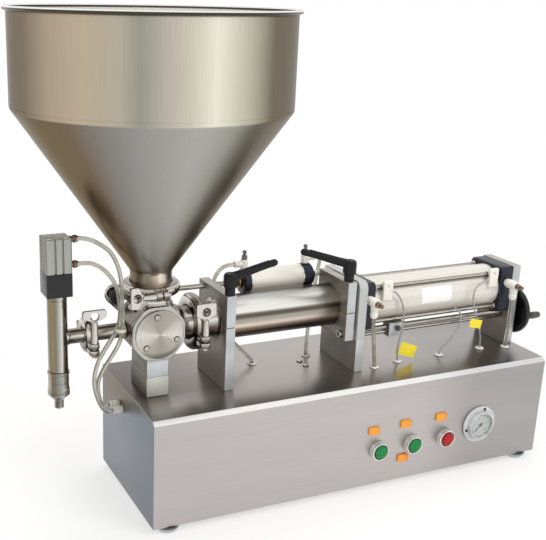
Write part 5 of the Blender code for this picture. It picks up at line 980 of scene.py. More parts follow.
def makeButtons():
    print("buttons")
    housing = turnedPiece("button_ring_left", (panel["buttonXs"][0], 0, panel["buttonZ"]), "Y",
                          ringOutline((
                              (-10.4, 12.0), (-11.0, 12.5), (-11.0, 13.3), (-10.2, 14.2),
                              (-7.2, 14.4), (-7.2, 13.7), (-6.4, 13.7), (-6.4, 14.6),
                              (-5.6, 15.0), (-1.6, 15.0), (-1.6, 14.4), (-0.4, 14.4),
                              (-0.1, 14.0), (-0.1, 12.0))), 72)
    lens = turnedPiece("button_lens_left", (panel["buttonXs"][0], 0, panel["buttonZ"]), "Y", (
        (-12.5, 0), (-12.45, 4.0), (-12.3, 7.5), (-11.9, 10.2), (-11.3, 11.3), (-10.6, 11.7),
        (-4.5, 11.7), (-4.5, 7.0), (19.9, 7.0), (19.9, 0)), 64)
    for number, side in enumerate(("left", "middle", "right")):
        shift = (panel["buttonXs"][number] - panel["buttonXs"][0], 0, 0)
        ring, cap = housing, lens
        if number:
            ring = movedCopy(housing, f"button_ring_{side}", shift)
            cap = movedCopy(lens, f"button_lens_{side}", shift)
        finishPiece(ring, "chrome", 0.15, smooth=30.0)
        finishPiece(cap, "red" if side == "right" else "green", 0,
                    nodes=(f"button_{side}",), body=f"button_{side}")


def makeLabels():
    # bare vinyl labels beside the buttons
    width, height = panel["labelSize"]
    for number, (x, z) in enumerate(panel["labels"]):
        label = blockPiece(f"panel_label_{number}", (x - width / 2, -0.35, z - height / 2),
                           (x + width / 2, -0.05, z + height / 2), 0)
        corners = label.data.vertices
        selectWhere(label.data.edges, lambda edge: abs(
            corners[edge.vertices[0]].co.y - corners[edge.vertices[1]].co.y) > 0.1 * mm)
        bpy.ops.mesh.bevel(offset=panel["labelCorner"] * mm, segments=6, affect="EDGES")
        bpy.ops.object.mode_set(mode="OBJECT")
        finishPiece(label, "orange", 0)


def makeGauge():
    print("gauge")
    centre = (panel["gaugeX"], 0, panel["gaugeZ"])
    turnedPart("gauge_flange", centre, "Y", ringOutline((
        (-0.3, 19.0), (-0.3, 30.5), (-2.2, 30.5), (-3.1, 29.8), (-3.3, 28.6), (-3.3, 22.0),
        (-3.3, 19.0))), 96, "gaugeRing", 0.2)
    turnedPart("gauge_bezel", centre, "Y", ringOutline((
        (-3.0, 19.6), (-3.0, 22.5), (-8.4, 22.5), (-9.6, 22.0), (-10.0, 21.2), (-9.7, 20.3),
        (-8.0, 20.0), (-4.6, 19.8))), 96, "gaugeRing", 0.15)
    turnedPart("gauge_case", centre, "Y", (
        (-4.5, 0), (-4.5, 20.0), (27.0, 20.0), (28.0, 19.0), (28.0, 0)), 96,
        "dial", 0.3, nodes=("gauge_body",))
    turnedPart("gauge_glass", centre, "Y", (
        (-8.2, 0), (-8.2, 20.0), (-9.4, 20.0), (-9.5, 12.0), (-9.6, 0)), 64, "glass", 0)
    makeDialMarks()
    # three screws hold the flange
    for number, angle in enumerate(panel["gaugeScrews"]):
        x = centre[0] + panel["screwCircle"] * cos(radians(angle))
        z = centre[2] + panel["screwCircle"] * sin(radians(angle))
        finishPiece(panHead(f"gauge_screw_{number}", (x, -3.3, z), "Y", -1, 2.6, 1.5),
                    "darkChrome", 0.1)
    needle = turnedPiece("needle_hub", centre, "Y", (
        (-4.8, 0), (-4.8, 2.5), (-5.9, 2.5), (-6.6, 1.9), (-6.6, 0)), 32)
    hand = cutPiece("needle_hand", ((-0.6, -5.0), (0.6, -5.0), (0.5, 2.0), (0.25, 15.0),
                                    (-0.25, 15.0), (-0.5, 2.0)), -6.1, -5.3, "Y")
    # drawn upright at the corner of the cabinet, then moved to the dial and turned to its zero
    hand.data.transform(Matrix.Translation(at(*centre)) @ turnedBy(dial["zero"], "Y")
                        @ Matrix.Translation(-at(0, 0, 0)))
    pointer = joinPieces("gauge_pointer", [needle, hand])
    finishPiece(pointer, "greyInk", 0.1, nodes=("gauge_needle",), body="needle")


# Scale of the gauge: its angles, in degrees from the right, go down as the numbers go up
dial = dict(zero=225.0, sweep=270.0, ticks=50, heavyEvery=5, highest=10, numberStep=2,
            numberCircle=11.6, numberHeight=4.4, tickEnd=17.6, face=-4.52,
            heavyTick=(14.6, 0.28), fineTick=(16.2, 0.13))


def makeDialMarks():
    # fine and heavy ticks, and plain numbers
    centre = (panel["gaugeX"], 0, panel["gaugeZ"])
    pieces = []
    for number in range(dial["ticks"] + 1):
        angle = radians(dial["zero"] - number * dial["sweep"] / dial["ticks"])
        inner, half = dial["fineTick" if number % dial["heavyEvery"] else "heavyTick"]
        outer = dial["tickEnd"]
        c, s = cos(angle), sin(angle)
        corners = [(inner, -half), (outer, -half), (outer, half), (inner, half)]
        outline = [(centre[0] + r * c - t * s, centre[2] + r * s + t * c) for r, t in corners]
        pieces.append(cutPiece(f"tick_{number}", outline, dial["face"] - 0.1, dial["face"], "Y"))
    for value in range(0, dial["highest"] + 1, dial["numberStep"]):
        angle = radians(dial["zero"] - value * dial["sweep"] / dial["highest"])
        deselectAll()
        bpy.ops.object.text_add(radius=dial["numberHeight"] * mm)
        text = bpy.context.object
        text.data.body = str(value)
        text.data.align_x = "CENTER"
        text.data.align_y = "CENTER"
        text.data.extrude = 0.05 * mm
        bpy.ops.object.convert(target="MESH")
        place = at(centre[0] + dial["numberCircle"] * cos(angle), dial["face"] - 0.05,
                   centre[2] + dial["numberCircle"] * sin(angle))
        text.data.transform(Matrix.Translation(place) @ turnedBy(90.0, "X"))
        pieces.append(text)
    marks = joinPieces("gauge_scale", pieces)
    finishPiece(marks, "greyInk", 0)


# Grommets, screws and fittings of the cabinet

topPlate = dict(grommets=((220.0, 144.5), (317.7, 145.2), (394.0, 64.0), (652.0, 64.0)),
                cableGrommets=((443.0, 72.0), (523.5, 72.0), (606.5, 73.0)),
                screws=((295.8, 126.0), (295.7, 107.0)),
                sideFittings=((145.0, 133.0), (130.0, 130.0)))


def makeTopDetails():
    print("grommets, screws and side fittings")
    top = cabinet["height"]
    for kind, spots, bore in (("hose", topPlate["grommets"], 3.15),
                              ("cable", topPlate["cableGrommets"], 1.55)):
        firstX, firstY = spots[0]
        first = turnedPiece(f"{kind}_grommet_0", (firstX, firstY, top), "Z", ringOutline((
            (0.1, bore), (0.1, 6.6), (0.7, 7.2), (1.6, 6.9), (2.3, 5.6), (2.6, bore + 0.9),
            (2.2, bore + 0.1))), 40)
        rings = [first]
        for number, (x, y) in enumerate(spots[1:], 1):
            rings.append(movedCopy(first, f"{kind}_grommet_{number}", (x - firstX, y - firstY, 0)))
        for ring in rings:
            finishPiece(ring, "grommet", 0, smooth=45.0)
    for number, (x, y) in enumerate(topPlate["screws"]):
        turnedPart(f"top_washer_{number}", (x, y, top), "Z", ringOutline((
            (0.1, 2.9), (0.1, 4.9), (0.7, 4.9), (0.9, 4.5), (0.9, 2.9))), 40, "blackSteel", 0)
        finishPiece(panHead(f"top_screw_{number}", (x, y, top + 0.5), "Z", 1, 3.3, 2.2),
                    "chrome", 0.1)
    for number, (y, z) in enumerate(topPlate["sideFittings"]):
        turnedPart(f"side_fitting_collar_{number}", (0, y, z), "X", ringOutline((
            (-13.9, 3.1), (-13.9, 4.4), (-13.4, 4.9), (-11.6, 4.9), (-11.0, 4.2), (-9.8, 4.2),
            (-9.8, 3.1))), 40, "white", 0.15)
        nut = hexagonPiece(f"side_fitting_nut_{number}", (y, z), 5.6, -9.6, -0.1, "X")
        finishPiece(nut, "white", 0.5)


# Product path: pedestal, valve, clamps, hopper, outlet pipe

pedestal = dict(lower=((19.5, 81.0, 165.3), (53.5, 147.0, 195.3)),
                upper=((20.2, 81.7, 195.4), (52.8, 146.3, 221.6)))


def makePedestal():
    print("pedestal and valve")
    lower = blockPiece("pedestal_lower", *pedestal["lower"], 0.8)
    finishPiece(lower, "pedestalLow", 0, nodes=("valve_pedestal",))
    upper = blockPiece("pedestal_upper", *pedestal["upper"], 0.6)
    finishPiece(upper, "pedestalHigh", 0)


valve = dict(half=40.0, chamferX=21.0, chamferZ=25.0, frontY=84.0, backY=142.0,
             flangeHalf=(40.0, 19.0, 15.0), flangeThick=7.0, cornerReach=8.5, hole=28.3,
             ferrule=36.0, screwCircle=27.0, screwAngles=(100.0, 220.0, 340.0))


def roundedCorners(points, reach, steps=5):
    # each corner becomes a curve that starts and ends the given reach away from it
    shape = []
    for index, corner in enumerate(points):
        middle = Vector(corner)
        before = Vector(points[index - 1])
        after = Vector(points[(index + 1) % len(points)])
        start = middle + (before - middle).normalized() * reach
        end = middle + (after - middle).normalized() * reach
        for step in range(steps + 1):
            t = step / steps
            shape.append(tuple(start * (1 - t) ** 2 + middle * 2 * t * (1 - t) + end * t * t))
    return shape


def bevelledSquare(half, flatX, flatZ):
    # the two ends of each bevel, all the way round
    quarter = [(half, flatZ), (flatX, half)]
    upper = quarter + [(-x, z) for x, z in reversed(quarter)]
    return upper + [(-x, -z) for x, z in upper]


def makeValve():
    half = valve["half"]
    corners = bevelledSquare(half, half - valve["chamferX"], half - valve["chamferZ"])
    block = cutPiece("valve_block", [(valveX + x, valveZ + z) for x, z in corners],
                     valve["frontY"], valve["backY"], "Y")
    finishPiece(block, "block", 2.2, 4, nodes=("valve_body",))
    centre = (valveX, axisY, valveZ)
    # the front flange is a plate with eight rounded corners
    front = valve["frontY"] - valve["flangeThick"]
    corners = roundedCorners(bevelledSquare(*valve["flangeHalf"]), valve["cornerReach"])
    flange = cutPiece("valve_flange", [(valveX + x, valveZ + z) for x, z in corners],
                      front, valve["frontY"] - 0.1, "Y")
    cutAway(flange, turnedPiece("flange_hole", centre, "Y", rodOutline(-60, 0, valve["hole"]),
                                64))
    finishPiece(flange, "block", 0.9, 3, 30.0)
    ferrule = valve["ferrule"]
    turnedPart("valve_hopper_neck", centre, "Z", ringOutline((
        (30.0, 19.5), (30.0, 33.0), (38.5, 31.5), (42.0, 28.6), (46.0, 28.0), (54.0, 28.0),
        (56.9, 30.0), (56.9, ferrule), (61.3, ferrule), (61.3, 19.5))), 72, "polished", 0.3)
    turnedPart("valve_inlet_neck", centre, "X", ringOutline((
        (30.0, 19.5), (30.0, 31.0), (38.5, 29.0), (42.0, 26.0), (46.0, 25.0), (57.0, 25.0),
        (60.4, 27.0), (60.4, ferrule), (64.8, ferrule), (64.8, 19.5))), 72, "polished", 0.3)
    back = front - 0.3 - axisY
    turnedPart("valve_cover_disc", centre, "Y", (
        (back - 3.7, 0), (back - 3.7, 5.0), (back - 3.7, 20.0), (back - 3.7, 34.8),
        (back - 3.1, 35.7), (back - 2.2, 36.0), (back, 36.0), (back, 28.0), (back + 8.4, 27.9),
        (back + 8.4, 0)), 96, "faced", 0, nodes=("valve_cover",))
    for number, angle in enumerate(valve["screwAngles"]):
        x = valveX + valve["screwCircle"] * cos(radians(angle))
        z = valveZ + valve["screwCircle"] * sin(radians(angle))
        y = axisY + back - 3.7
        turnedPart(f"cover_recess_{number}", (x, y, z), "Y", ringOutline((
            (0.2, 3.2), (0.2, 4.7), (-0.12, 4.7), (-0.12, 3.2))), 40, "darkChrome", 0)
        screw = socketHead(f"cover_screw_{number}", (x, y, z), "Y", -1, 3.5, 1.8, 0.6)
        finishPiece(screw, "bright", 0.2)


def clampRing(name, centre, axis, ring, neck, width, nodes):
    # two halves of a cast clamp, its flanks sloping to a narrow rim
    half = width / 2
    outline = ringOutline((
        (-half, neck + 1.0), (-half, ring - 5.5), (-half + 1.6, ring - 2.6),
        (-half + 4.2, ring - 0.5), (-half + 5.6, ring), (half - 5.6, ring),
        (half - 4.2, ring - 0.5), (half - 1.6, ring - 2.6), (half, ring - 5.5),
        (half, neck + 1.0)))
    return turnedPart(name, centre, axis, outline, 96, "polished", 0, nodes=nodes)


clamps = {
    "hopper": dict(axis="Z", centre=(36.5, 112.0, 323.5), ring=42.0, neck=30.0, width=17.0,
                   lug=2.0, hub=11.3, fan=(29.0, 48.0), fanHalf=15.5),
    "inlet": dict(axis="X", centre=(101.5, 112.0, 262.0), ring=42.0, neck=25.5, width=17.0,
                  lug=-15.0, hub=-5.7, fan=(17.0, 43.0), fanHalf=15.5),
    "outlet": dict(axis="X", centre=(-58.0, 112.0, 262.0), ring=26.0, neck=11.0, width=16.0,
                   lug=-11.0, hub=-1.7, fan=(28.0, 46.0), fanHalf=17.0),
}


def wingFan(low, high, narrow, half, corner):
    # outline of a wing: a bar at the hub that widens at once to a straight outer edge
    way = 1 if high > low else -1
    side = [(low, narrow), (low + way * 2.5, narrow), (low + way * 5.0, half * 0.72),
            (low + way * 7.5, half * 0.96), (low + way * 9.5, half), (high - way * corner, half),
            (high - way * corner * 0.3, half - corner * 0.3), (high, half - corner)]
    return side + [(a, -b) for a, b in reversed(side)]


def makeClamp(key):
    facts = clamps[key]
    axis, centre = facts["axis"], facts["centre"]
    clampRing(f"{key}_clamp_ring", centre, axis, facts["ring"], facts["neck"], facts["width"],
              (f"{key}_clamp",))
    # the bolt crosses in front of the ring: along X on an upright neck, else along Z
    boltAxis, way = ("X", -1) if axis == "Z" else ("Z", 1)
    boltY = centre[1] - facts["ring"] - 7.0
    cross = centre["XYZ".index(axis)]
    half = facts["width"] / 2 - 1.0

    def along(value):
        return centre["XYZ".index(boltAxis)] + way * value

    def crossCut(name, outline, start, end, cutAxis):
        # outlines are drawn for a bolt along X
        points = outline if boltAxis == "X" else [(b, a) for a, b in outline]
        return cutPiece(name, points, min(start, end), max(start, end), cutAxis)

    # rounded ears with the bolt through them
    earBack = boltY + 14.5
    for side, (start, end) in (("a", (-9.0, -1.0)), ("b", (1.0, 9.0))):
        ear = [(boltY + half * cos(radians(t)) * 0.9, cross + half * sin(radians(t)))
               for t in range(90, 271, 15)]
        ear += [(earBack, cross - half), (earBack, cross + half)]
        piece = crossCut(f"{key}_clamp_ear_{side}", ear, along(facts["lug"] + start),
                         along(facts["lug"] + end), boltAxis)
        finishPiece(piece, "polished", 1.4, 3)
    # hinge at the back: two links on pins
    hingeY = centre[1] + facts["ring"] + 1.0
    for number, offset in enumerate((-9.0, 9.0)):
        pinCentre = [centre[0], hingeY, centre[2]]
        pinCentre["XYZ".index(boltAxis)] = along(offset)
        turnedPart(f"{key}_clamp_pin_{number}", pinCentre, axis,
                   rodOutline(-half - 0.8, half + 0.8, 3.2), 24, "bright", 0.4)
    low, high = sorted((along(-12.5), along(12.5)))
    for side, shift in (("low", -1), ("high", 1)):
        edge = cross + shift * (half - 2.0)
        corner = 4.0
        outline = [(low + corner, hingeY - corner), (high - corner, hingeY - corner),
                   (high, hingeY), (high - corner, hingeY + corner),
                   (low + corner, hingeY + corner), (low, hingeY)]
        link = crossCut(f"{key}_clamp_link_{side}", outline, edge, edge + shift * 1.8, axis)
        finishPiece(link, "polished", 0.5)
    makeWing(key, facts, boltY, boltAxis, way)


def makeWing(key, facts, boltY, boltAxis, way):
    centre = facts["centre"]
    origin = (centre[0], boltY, centre[2])

    def fromHub(a, b):
        # a runs along the bolt, b across it
        shift = (a, b) if boltAxis == "X" else (b, a)
        return centre[0] + shift[0], centre[2] + shift[1]

    lug, hubStart = facts["lug"], facts["hub"]
    start, end, pitch = lug + 9.0, hubStart + 17.9, 1.25
    bolt = [(way * (lug - 12.0), 0), (way * (lug - 12.0), 4.2), (way * (lug - 9.2), 4.2),
            (way * (lug - 9.2), 3.0)]
    bolt += threadRidges(start, int((end - start) / pitch), pitch, pitch / 2, 2.5, 3.0, way)
    bolt += [(way * end, 2.3), (way * end, 0)]
    turnedPart(f"{key}_clamp_bolt", origin, boltAxis, bolt, 24, "bright", 0, smooth=25.0)
    fanLow, fanHigh = facts["fan"]
    hub = ringOutline((
        (way * hubStart, 3.3), (way * hubStart, 5.5), (way * (hubStart + 6), 5.5),
        (way * (fanLow - 4), 4.8), (way * (fanLow + 1.6), 4.2), (way * (fanLow + 2.0), 3.3)))
    nut = turnedPiece(f"{key}_wing_hub", origin, boltAxis, hub, 32)
    # the wing widens from the hub and has a round window
    fan = wingFan(way * fanLow, way * fanHigh, 4.8, facts["fanHalf"], 3.0)
    wing = cutPiece(f"{key}_wing_fan", [fromHub(a, b) for a, b in fan], boltY - 2.5, boltY + 2.5,
                    "Y")
    windowX, windowZ = fromHub(way * (fanLow + fanHigh) / 2, 0)
    cutAway(wing, turnedPiece("wing_window", (windowX, boltY, windowZ), "Y",
                              rodOutline(-9, 9, 6.2), 32))
    finishPiece(wing, "wing", 1.3, 3, body=f"{key}_wing_nut")
    finishPiece(nut, "wing", 0.4, nodes=(f"{key}_clamp_wing_nut",), body=f"{key}_wing_nut")


hopper = dict(radius=189.5, wall=2.0, neck=29.8, neckTop=348.0, coneTop=574.5, top=702.7,
              clampZ=323.5)


def makeHopper():
    print("hopper")
    radius, neck = hopper["radius"], hopper["neck"]
    low = hopper["clampZ"] + 0.15
    # small bends where the cone meets the neck and the cylinder
    coneTop, neckTop = hopper["coneTop"], hopper["neckTop"]
    slope = (radius - neck) / (coneTop - neckTop)
    outside = [(low, 36.0), (low + 4.4, 36.0), (low + 6.0, 31.0), (low + 8.0, neck),
               (neckTop - 3.0, neck), (neckTop, neck + 0.7), (neckTop + 3.0, neck + 3 * slope)]
    outside += [(coneTop - 5.0, radius - 5.0 * slope), (coneTop - 2.0, radius - 1.7 * slope),
                (coneTop, radius - 0.45), (coneTop + 2.0, radius - 0.05), (coneTop + 3.2, radius),
                (coneTop + 3.3, radius - 0.35), (coneTop + 4.1, radius - 0.35),
                (coneTop + 4.2, radius), (hopper["top"] - 6.0, radius)]
    inside = [(a + 0.6, r - hopper["wall"]) for a, r in reversed(outside[3:])]
    inside = [(hopper["top"] - 1.2, radius - hopper["wall"])] + inside[1:]
    bottom = [(low, neck - hopper["wall"])]
    turnedPart("hopper_wall", (valveX, axisY, 0), "Z", ringOutline(outside + inside + bottom),
               144, "hopper", 0, smooth=28.0, nodes=("hopper",))
    # sheet rolled over a wire makes the rim
    bead = [(hopper["top"] - 2.9 + 2.9 * sin(radians(t)), radius + 2.2 + 2.9 * cos(radians(t)))
            for t in range(0, 360, 24)]
    turnedPart("hopper_rim", (valveX, axisY, 0), "Z", ringOutline(bead), 144,
               "rim", 0, smooth=60.0)


nozzle = dict(radius=14.0, low=214.0, top=325.0, block=36.0, fittingZs=(401.6, 366.0))
hoseTie = dict(x=-22.3, y=73.0, low=275.6, high=279.8, reach=(7.4, 8.6), thick=0.7)


def makeNozzle():
    print("outlet pipe and nozzle")
    centre = (0, axisY, valveZ)
    turnedPart("outlet_tube", centre, "X", ringOutline((
        (-57.85, 8.8), (-57.85, 21.5), (-54.4, 21.5), (-53.2, 13.5), (-51.6, 10.9),
        (-10.0, 10.8), (-7.2, 11.6), (-4.8, 13.0), (-3.6, 12.0), (2.4, 10.8), (2.4, 8.8))), 64,
        "polished", 0.2, nodes=("outlet_pipe",))
    place = (nozzleX, axisY, 0)
    radius, low, top = nozzle["radius"], nozzle["low"], nozzle["top"]
    turnedPart("nozzle_tube", place, "Z", ringOutline((
        (low, radius - 3.0), (low, radius - 0.6), (low + 0.6, radius), (top - 6.5, radius),
        (top - 6.0, radius - 0.4), (top - 5.2, radius - 0.4), (top - 4.8, radius),
        (top - 0.4, radius), (top, radius - 0.4), (top, radius - 3.0))), 64,
        "nozzle", 0, nodes=("nozzle_body",))
    turnedPart("nozzle_branch", centre, "X", ringOutline((
        (-91.0, 8.8), (-91.0, 12.8), (-87.2, 11.8), (-84.5, 10.8), (-64.6, 10.8),
        (-63.0, 13.5), (-61.6, 21.5), (-58.15, 21.5), (-58.15, 8.8))), 64, "polished", 0.2)
    turnedPart("nozzle_union", place, "Z", ringOutline((
        (182.7, 9.3), (182.7, 15.0), (183.2, 15.6), (186.6, 15.6), (187.2, 15.0), (188.0, 14.6),
        (197.0, 14.6), (197.4, 14.1), (198.2, 14.1), (198.6, 14.6), (208.6, 14.6),
        (209.2, 15.1), (210.0, 15.6), (213.1, 15.6), (213.7, 15.0), (213.7, 9.3))), 64,
        "coupling", 0, nodes=("nozzle_coupling",))
    # the spout's outside is threaded for other tips
    spout = [(157.4, 4.5), (157.4, 6.0), (158.2, 6.8)]
    spout += threadRidges(159.0, 6, 1.6, 0.7, 6.8, 6.2)
    spout += [(169.2, 6.8), (170.4, 7.4), (174.0, 11.0), (178.2, 15.2), (178.6, 15.6),
              (181.9, 15.6), (182.4, 15.1), (182.4, 9.3), (178.9, 9.3), (170.9, 4.5)]
    turnedPart("nozzle_spout", place, "Z", ringOutline(spout), 64,
               "coupling", 0, smooth=25.0, nodes=("nozzle_tip",))
    makeNozzleActuator()


def makeNozzleActuator():
    half = nozzle["block"] / 2
    adapter = blockPiece("nozzle_adapter_block", (nozzleX - half, axisY - half, 325.3),
                         (nozzleX + half, axisY + half, 358.3), 1.0)
    finishPiece(adapter, "blackSteel", 0, nodes=("nozzle_adapter",))
    # extruded profile with two undercut grooves on each side
    groove, lip, depth = 2.6, 4.0, 1.6
    side = [(half, -half + 1.5), (half, -lip - groove), (half - depth, -lip - groove),
            (half - depth, -lip), (half, -lip), (half, lip), (half - depth, lip),
            (half - depth, lip + groove), (half, lip + groove), (half, half - 1.5)]
    outline = []
    for c, s in ((1, 0), (0, 1), (-1, 0), (0, -1)):
        outline += [(nozzleX + a * c - b * s, axisY + a * s + b * c) for a, b in side]
    block = cutPiece("nozzle_cylinder_block", outline, 358.6, 406.3, "Z")
    finishPiece(block, "profile", 0.4, nodes=("nozzle_actuator",))
    for number, (x, y) in enumerate(((-1, -1), (1, -1), (-1, 1), (1, 1))):
        spot = (nozzleX + x * 11.5, axisY + y * 11.5, 406.3)
        turnedPart(f"nozzle_cap_screw_{number}", spot, "Z", (
            (-1.0, 0), (-1.0, 2.7), (0.1, 2.7), (0.3, 2.4), (0.3, 0)), 24, "bright", 0.1)
    start = nozzleX + half
    for number, z in enumerate(nozzle["fittingZs"]):
        turnedPart(f"nozzle_fitting_sleeve_{number}", (0, axisY, z), "X", ringOutline((
            (start - 0.2, 1.5), (start - 0.2, 4.6), (start + 3.0, 4.6), (start + 3.6, 4.1),
            (start + 5.6, 4.1), (start + 5.6, 1.5))), 40, "brownNickel", 0.15)
        collar = knurledCollar(f"nozzle_fitting_collar_{number}", (0, axisY, z), "X",
                               start + 5.7, start + 10.9, 5.4, 3.1)
        finishPiece(collar, "brownNickel", 0.1)
        turnedPart(f"nozzle_fitting_lip_{number}", (0, axisY, z), "X", ringOutline((
            (start + 11.0, 3.1), (start + 11.0, 4.5), (start + 13.2, 4.3),
            (start + 13.6, 3.8), (start + 13.6, 3.1))), 40, "bright", 0.1)
    makeHoseTie()


def makeHoseTie():
    turnedPart("hose_tie_buckle", (-22.5, 70.5, 278.0), "Y", (
        (-4.6, 0), (-4.6, 2.2), (-4.2, 2.6), (-0.4, 2.6), (0, 2.2), (0, 0)), 16, "tie", 0.2)
    # a band round both hoses
    rings = []
    for thick in (0, hoseTie["thick"]):
        reachX, reachY = (reach - thick for reach in hoseTie["reach"])
        rings.append([(hoseTie["x"] + reachX * cos(radians(t)),
                       hoseTie["y"] + reachY * sin(radians(t))) for t in range(0, 360, 12)])
    band = cutPiece("hose_tie_band", rings[0], hoseTie["low"], hoseTie["high"], "Z")
    cutAway(band, cutPiece("band_hole", rings[1], hoseTie["low"] - 1.6, hoseTie["high"] + 1.2,
                           "Z"))
    finishPiece(band, "tie", 0.2)


def knurledCollar(name, centre, axis, start, end, radius, bore, steps=40):
    # straight knurl: every second facet pulled in
    ring = turnedPiece(name, centre, axis, ringOutline((
        (start, bore), (start, radius - 0.5), (start + 0.5, radius), (end - 0.5, radius),
        (end, radius - 0.5), (end, bore))), steps)
    middle = at(*centre)
    along = turnAxes[axis][0]
    for vertex in ring.data.vertices:
        arm = vertex.co - middle
        flat = arm - along * arm.dot(along)
        others = [flat[i] for i in range(3) if abs(along[i]) < 0.5]
        step = round(atan2(others[1], others[0]) / (2 * pi / steps))
        if flat.length > (radius - 0.2) * mm and step % 2:
            vertex.co -= flat.normalized() * 0.35 * mm
    return ring


# Valve drive: crank, rod and air cylinder

actuator = dict(y=150.0, z=301.0, tube=(208.5, 300.0), tubeRadius=18.2, bore=15.0, portZ=320.3)
speedValves = {"front": dict(x=203.0, way=-1), "rear": dict(x=308.75, way=1)}


def makeCrank():
    print("crank and its air cylinder")
    dressNode("crank_arm", "crank_lever", "rotor", "polished", 0.7)
    place = (0, actuator["y"], actuator["z"])
    turnedPart("actuator_shaft", place, "X", (
        (6.0, 0), (6.0, 4.0), (209.0, 4.0), (209.3, 14.7), (217.3, 14.7), (217.3, 0)), 32,
        "bright", 0.2, nodes=("actuator_rod",), body="actuator_rod")
    # fork head on the rod's end, with the pin that runs in the crank's slot
    fork = blockPiece("actuator_fork", (-9.5, 144.0, 294.5), (18.0, 154.0, 307.5), 1.2)
    finishPiece(fork, "bright", 0, body="actuator_rod")
    nut = hexagonPiece("actuator_rod_nut", place[1:], 7.4, 18.2, 23.4, "X", 30.0)
    finishPiece(nut, "bright", 0.5, body="actuator_rod")
    turnedPart("actuator_pin", (-2.5, 0, actuator["z"]), "Y", (
        (143.4, 0), (143.4, 11.0), (143.8, 11.5), (145.4, 11.5), (145.4, 3.5), (160.2, 3.5),
        (160.3, 9.0), (161.8, 9.0), (162.3, 8.4), (162.3, 0)), 40,
        "blackSteel", 0.2, body="actuator_rod")


def makeActuator():
    place = (0, actuator["y"], actuator["z"])
    front, rear = actuator["tube"]
    radius, bore = actuator["tubeRadius"], actuator["bore"]
    turnedPart("actuator_tube", place, "X", ringOutline((
        (front, bore), (front, radius), (rear, radius), (rear, bore))), 96,
        "cream", 0, nodes=("valve_actuator",))
    for side, start, long, way in (("front", front, 11.5, -1), ("rear", rear, 18.0, 1)):
        cap = [(0, 4.4), (0, 18.6), (way * 1.0, 19.0), (way * (long - 2.4), 19.0),
               (way * (long - 0.4), 17.2), (way * long, 16.0), (way * long, 4.4)]
        seat = (start, *place[1:])
        turnedPart(f"actuator_cap_{side}", seat, "X", ringOutline(cap), 72, "navy", 0)
        turnedPart(f"actuator_ring_{side}", seat, "X", ringOutline((
            (way * -1.6, 18.1), (way * -1.6, 18.8), (way * -0.2, 18.95), (way * -0.2, 18.1))), 72,
            "chrome", 0)
    nut = hexagonPiece("actuator_nose_nut", place[1:], 10.5, 191.6, 196.8, "X", 30.0)
    finishPiece(nut, "brass", 0.8)
    turnedPart("actuator_nose", place, "X", ringOutline((
        (190.0, 4.4), (190.0, 7.2), (190.6, 7.8), (191.7, 7.8), (191.7, 4.4))), 40,
        "blackSteel", 0.1)
    nut = hexagonPiece("actuator_rear_nut", place[1:], 9.0, 318.2, 324.6, "X", 30.0)
    finishPiece(nut, "blackSteel", 0.7)
    stud = [(324.4, 0), (324.4, 4.0)] + threadRidges(325.0, 20, 1.25, 0.6, 3.5, 4.0)
    stud += [(350.8, 3.6), (350.8, 0)]
    turnedPart("actuator_stud", place, "X", stud, 24, "white", 0, smooth=25.0)


def makeSpeedValve(side):
    x, way, low = speedValves[side]["x"], speedValves[side]["way"], actuator["portZ"]
    place = (x, actuator["y"], low)
    turnedPart(f"speed_body_{side}", place, "Z", ringOutline((
        (0, 2.1), (0, 4.8), (1.4, 4.8), (1.6, 6.5), (5.4, 6.5), (6.0, 5.6), (6.8, 5.6),
        (7.4, 6.4), (13.8, 6.4), (14.6, 5.6), (15.9, 5.2), (15.9, 2.1))), 40,
        "white", 0.15, nodes=(f"speed_valve_{side}",))
    turnedPart(f"speed_port_{side}", (x, actuator["y"], low + 9.0), "X", ringOutline((
        (way * 4.0, 3.1), (way * 4.0, 5.0), (way * 11.0, 5.0), (way * 11.6, 4.4),
        (way * 12.4, 4.4), (way * 12.9, 5.0), (way * 16.2, 5.0), (way * 16.8, 4.4),
        (way * 16.8, 3.1))), 40, "white", 0.1)
    makeKnob(f"speed_knob_{side}", place, "Z", 16.0, 1, "nickel")


def makeKnob(node, centre, axis, seat, way, look):
    # lock ring, waist and a ball grip
    outline = [(-7.0, 0), (-7.0, 1.8), (0.3, 1.8), (0.3, 4.3), (0.7, 4.6), (5.4, 4.6), (6.0, 4.1),
               (7.0, 2.5), (8.6, 2.4), (9.6, 2.8), (10.6, 3.4), (12.2, 3.4), (13.2, 2.9),
               (13.8, 1.9), (14.0, 0)]
    turnedPart(node + "_turning", centre, axis, [(seat + way * a, r) for a, r in outline], 40,
               look, 0, smooth=40.0, nodes=(node,), body=node)


# Product cylinder with its plates and levers

barrel = dict(start=134.5, end=350.0, radius=32.5, bore=30.0, inlet=24.0)


def makeBarrel():
    print("product cylinder")
    place = (0, axisY, valveZ)
    start, end, radius, bore, inlet = (barrel[key] for key in (
        "start", "end", "radius", "bore", "inlet"))
    turnedPart("cylinder_tube", place, "X", ringOutline((
        (start, inlet), (start, radius - 0.3), (start + 0.4, radius), (end - 0.5, radius),
        (end, radius - 0.3), (end, bore), (start + 3.5, bore), (start + 3.5, inlet))), 128,
        "barrel", 0, nodes=("product_cylinder",))
    turnedPart("cylinder_neck", place, "X", ringOutline((
        (101.65, 22.0), (101.65, 36.0), (105.2, 36.0), (106.4, 28.0), (109.0, 25.0),
        (130.5, 25.0), (133.0, 26.6), (134.4, 29.5), (134.4, 22.0))), 96, "polished", 0.2)


plateBolts = dict(ys=(72.0, 133.0), z=226.0, faceX=333.4)


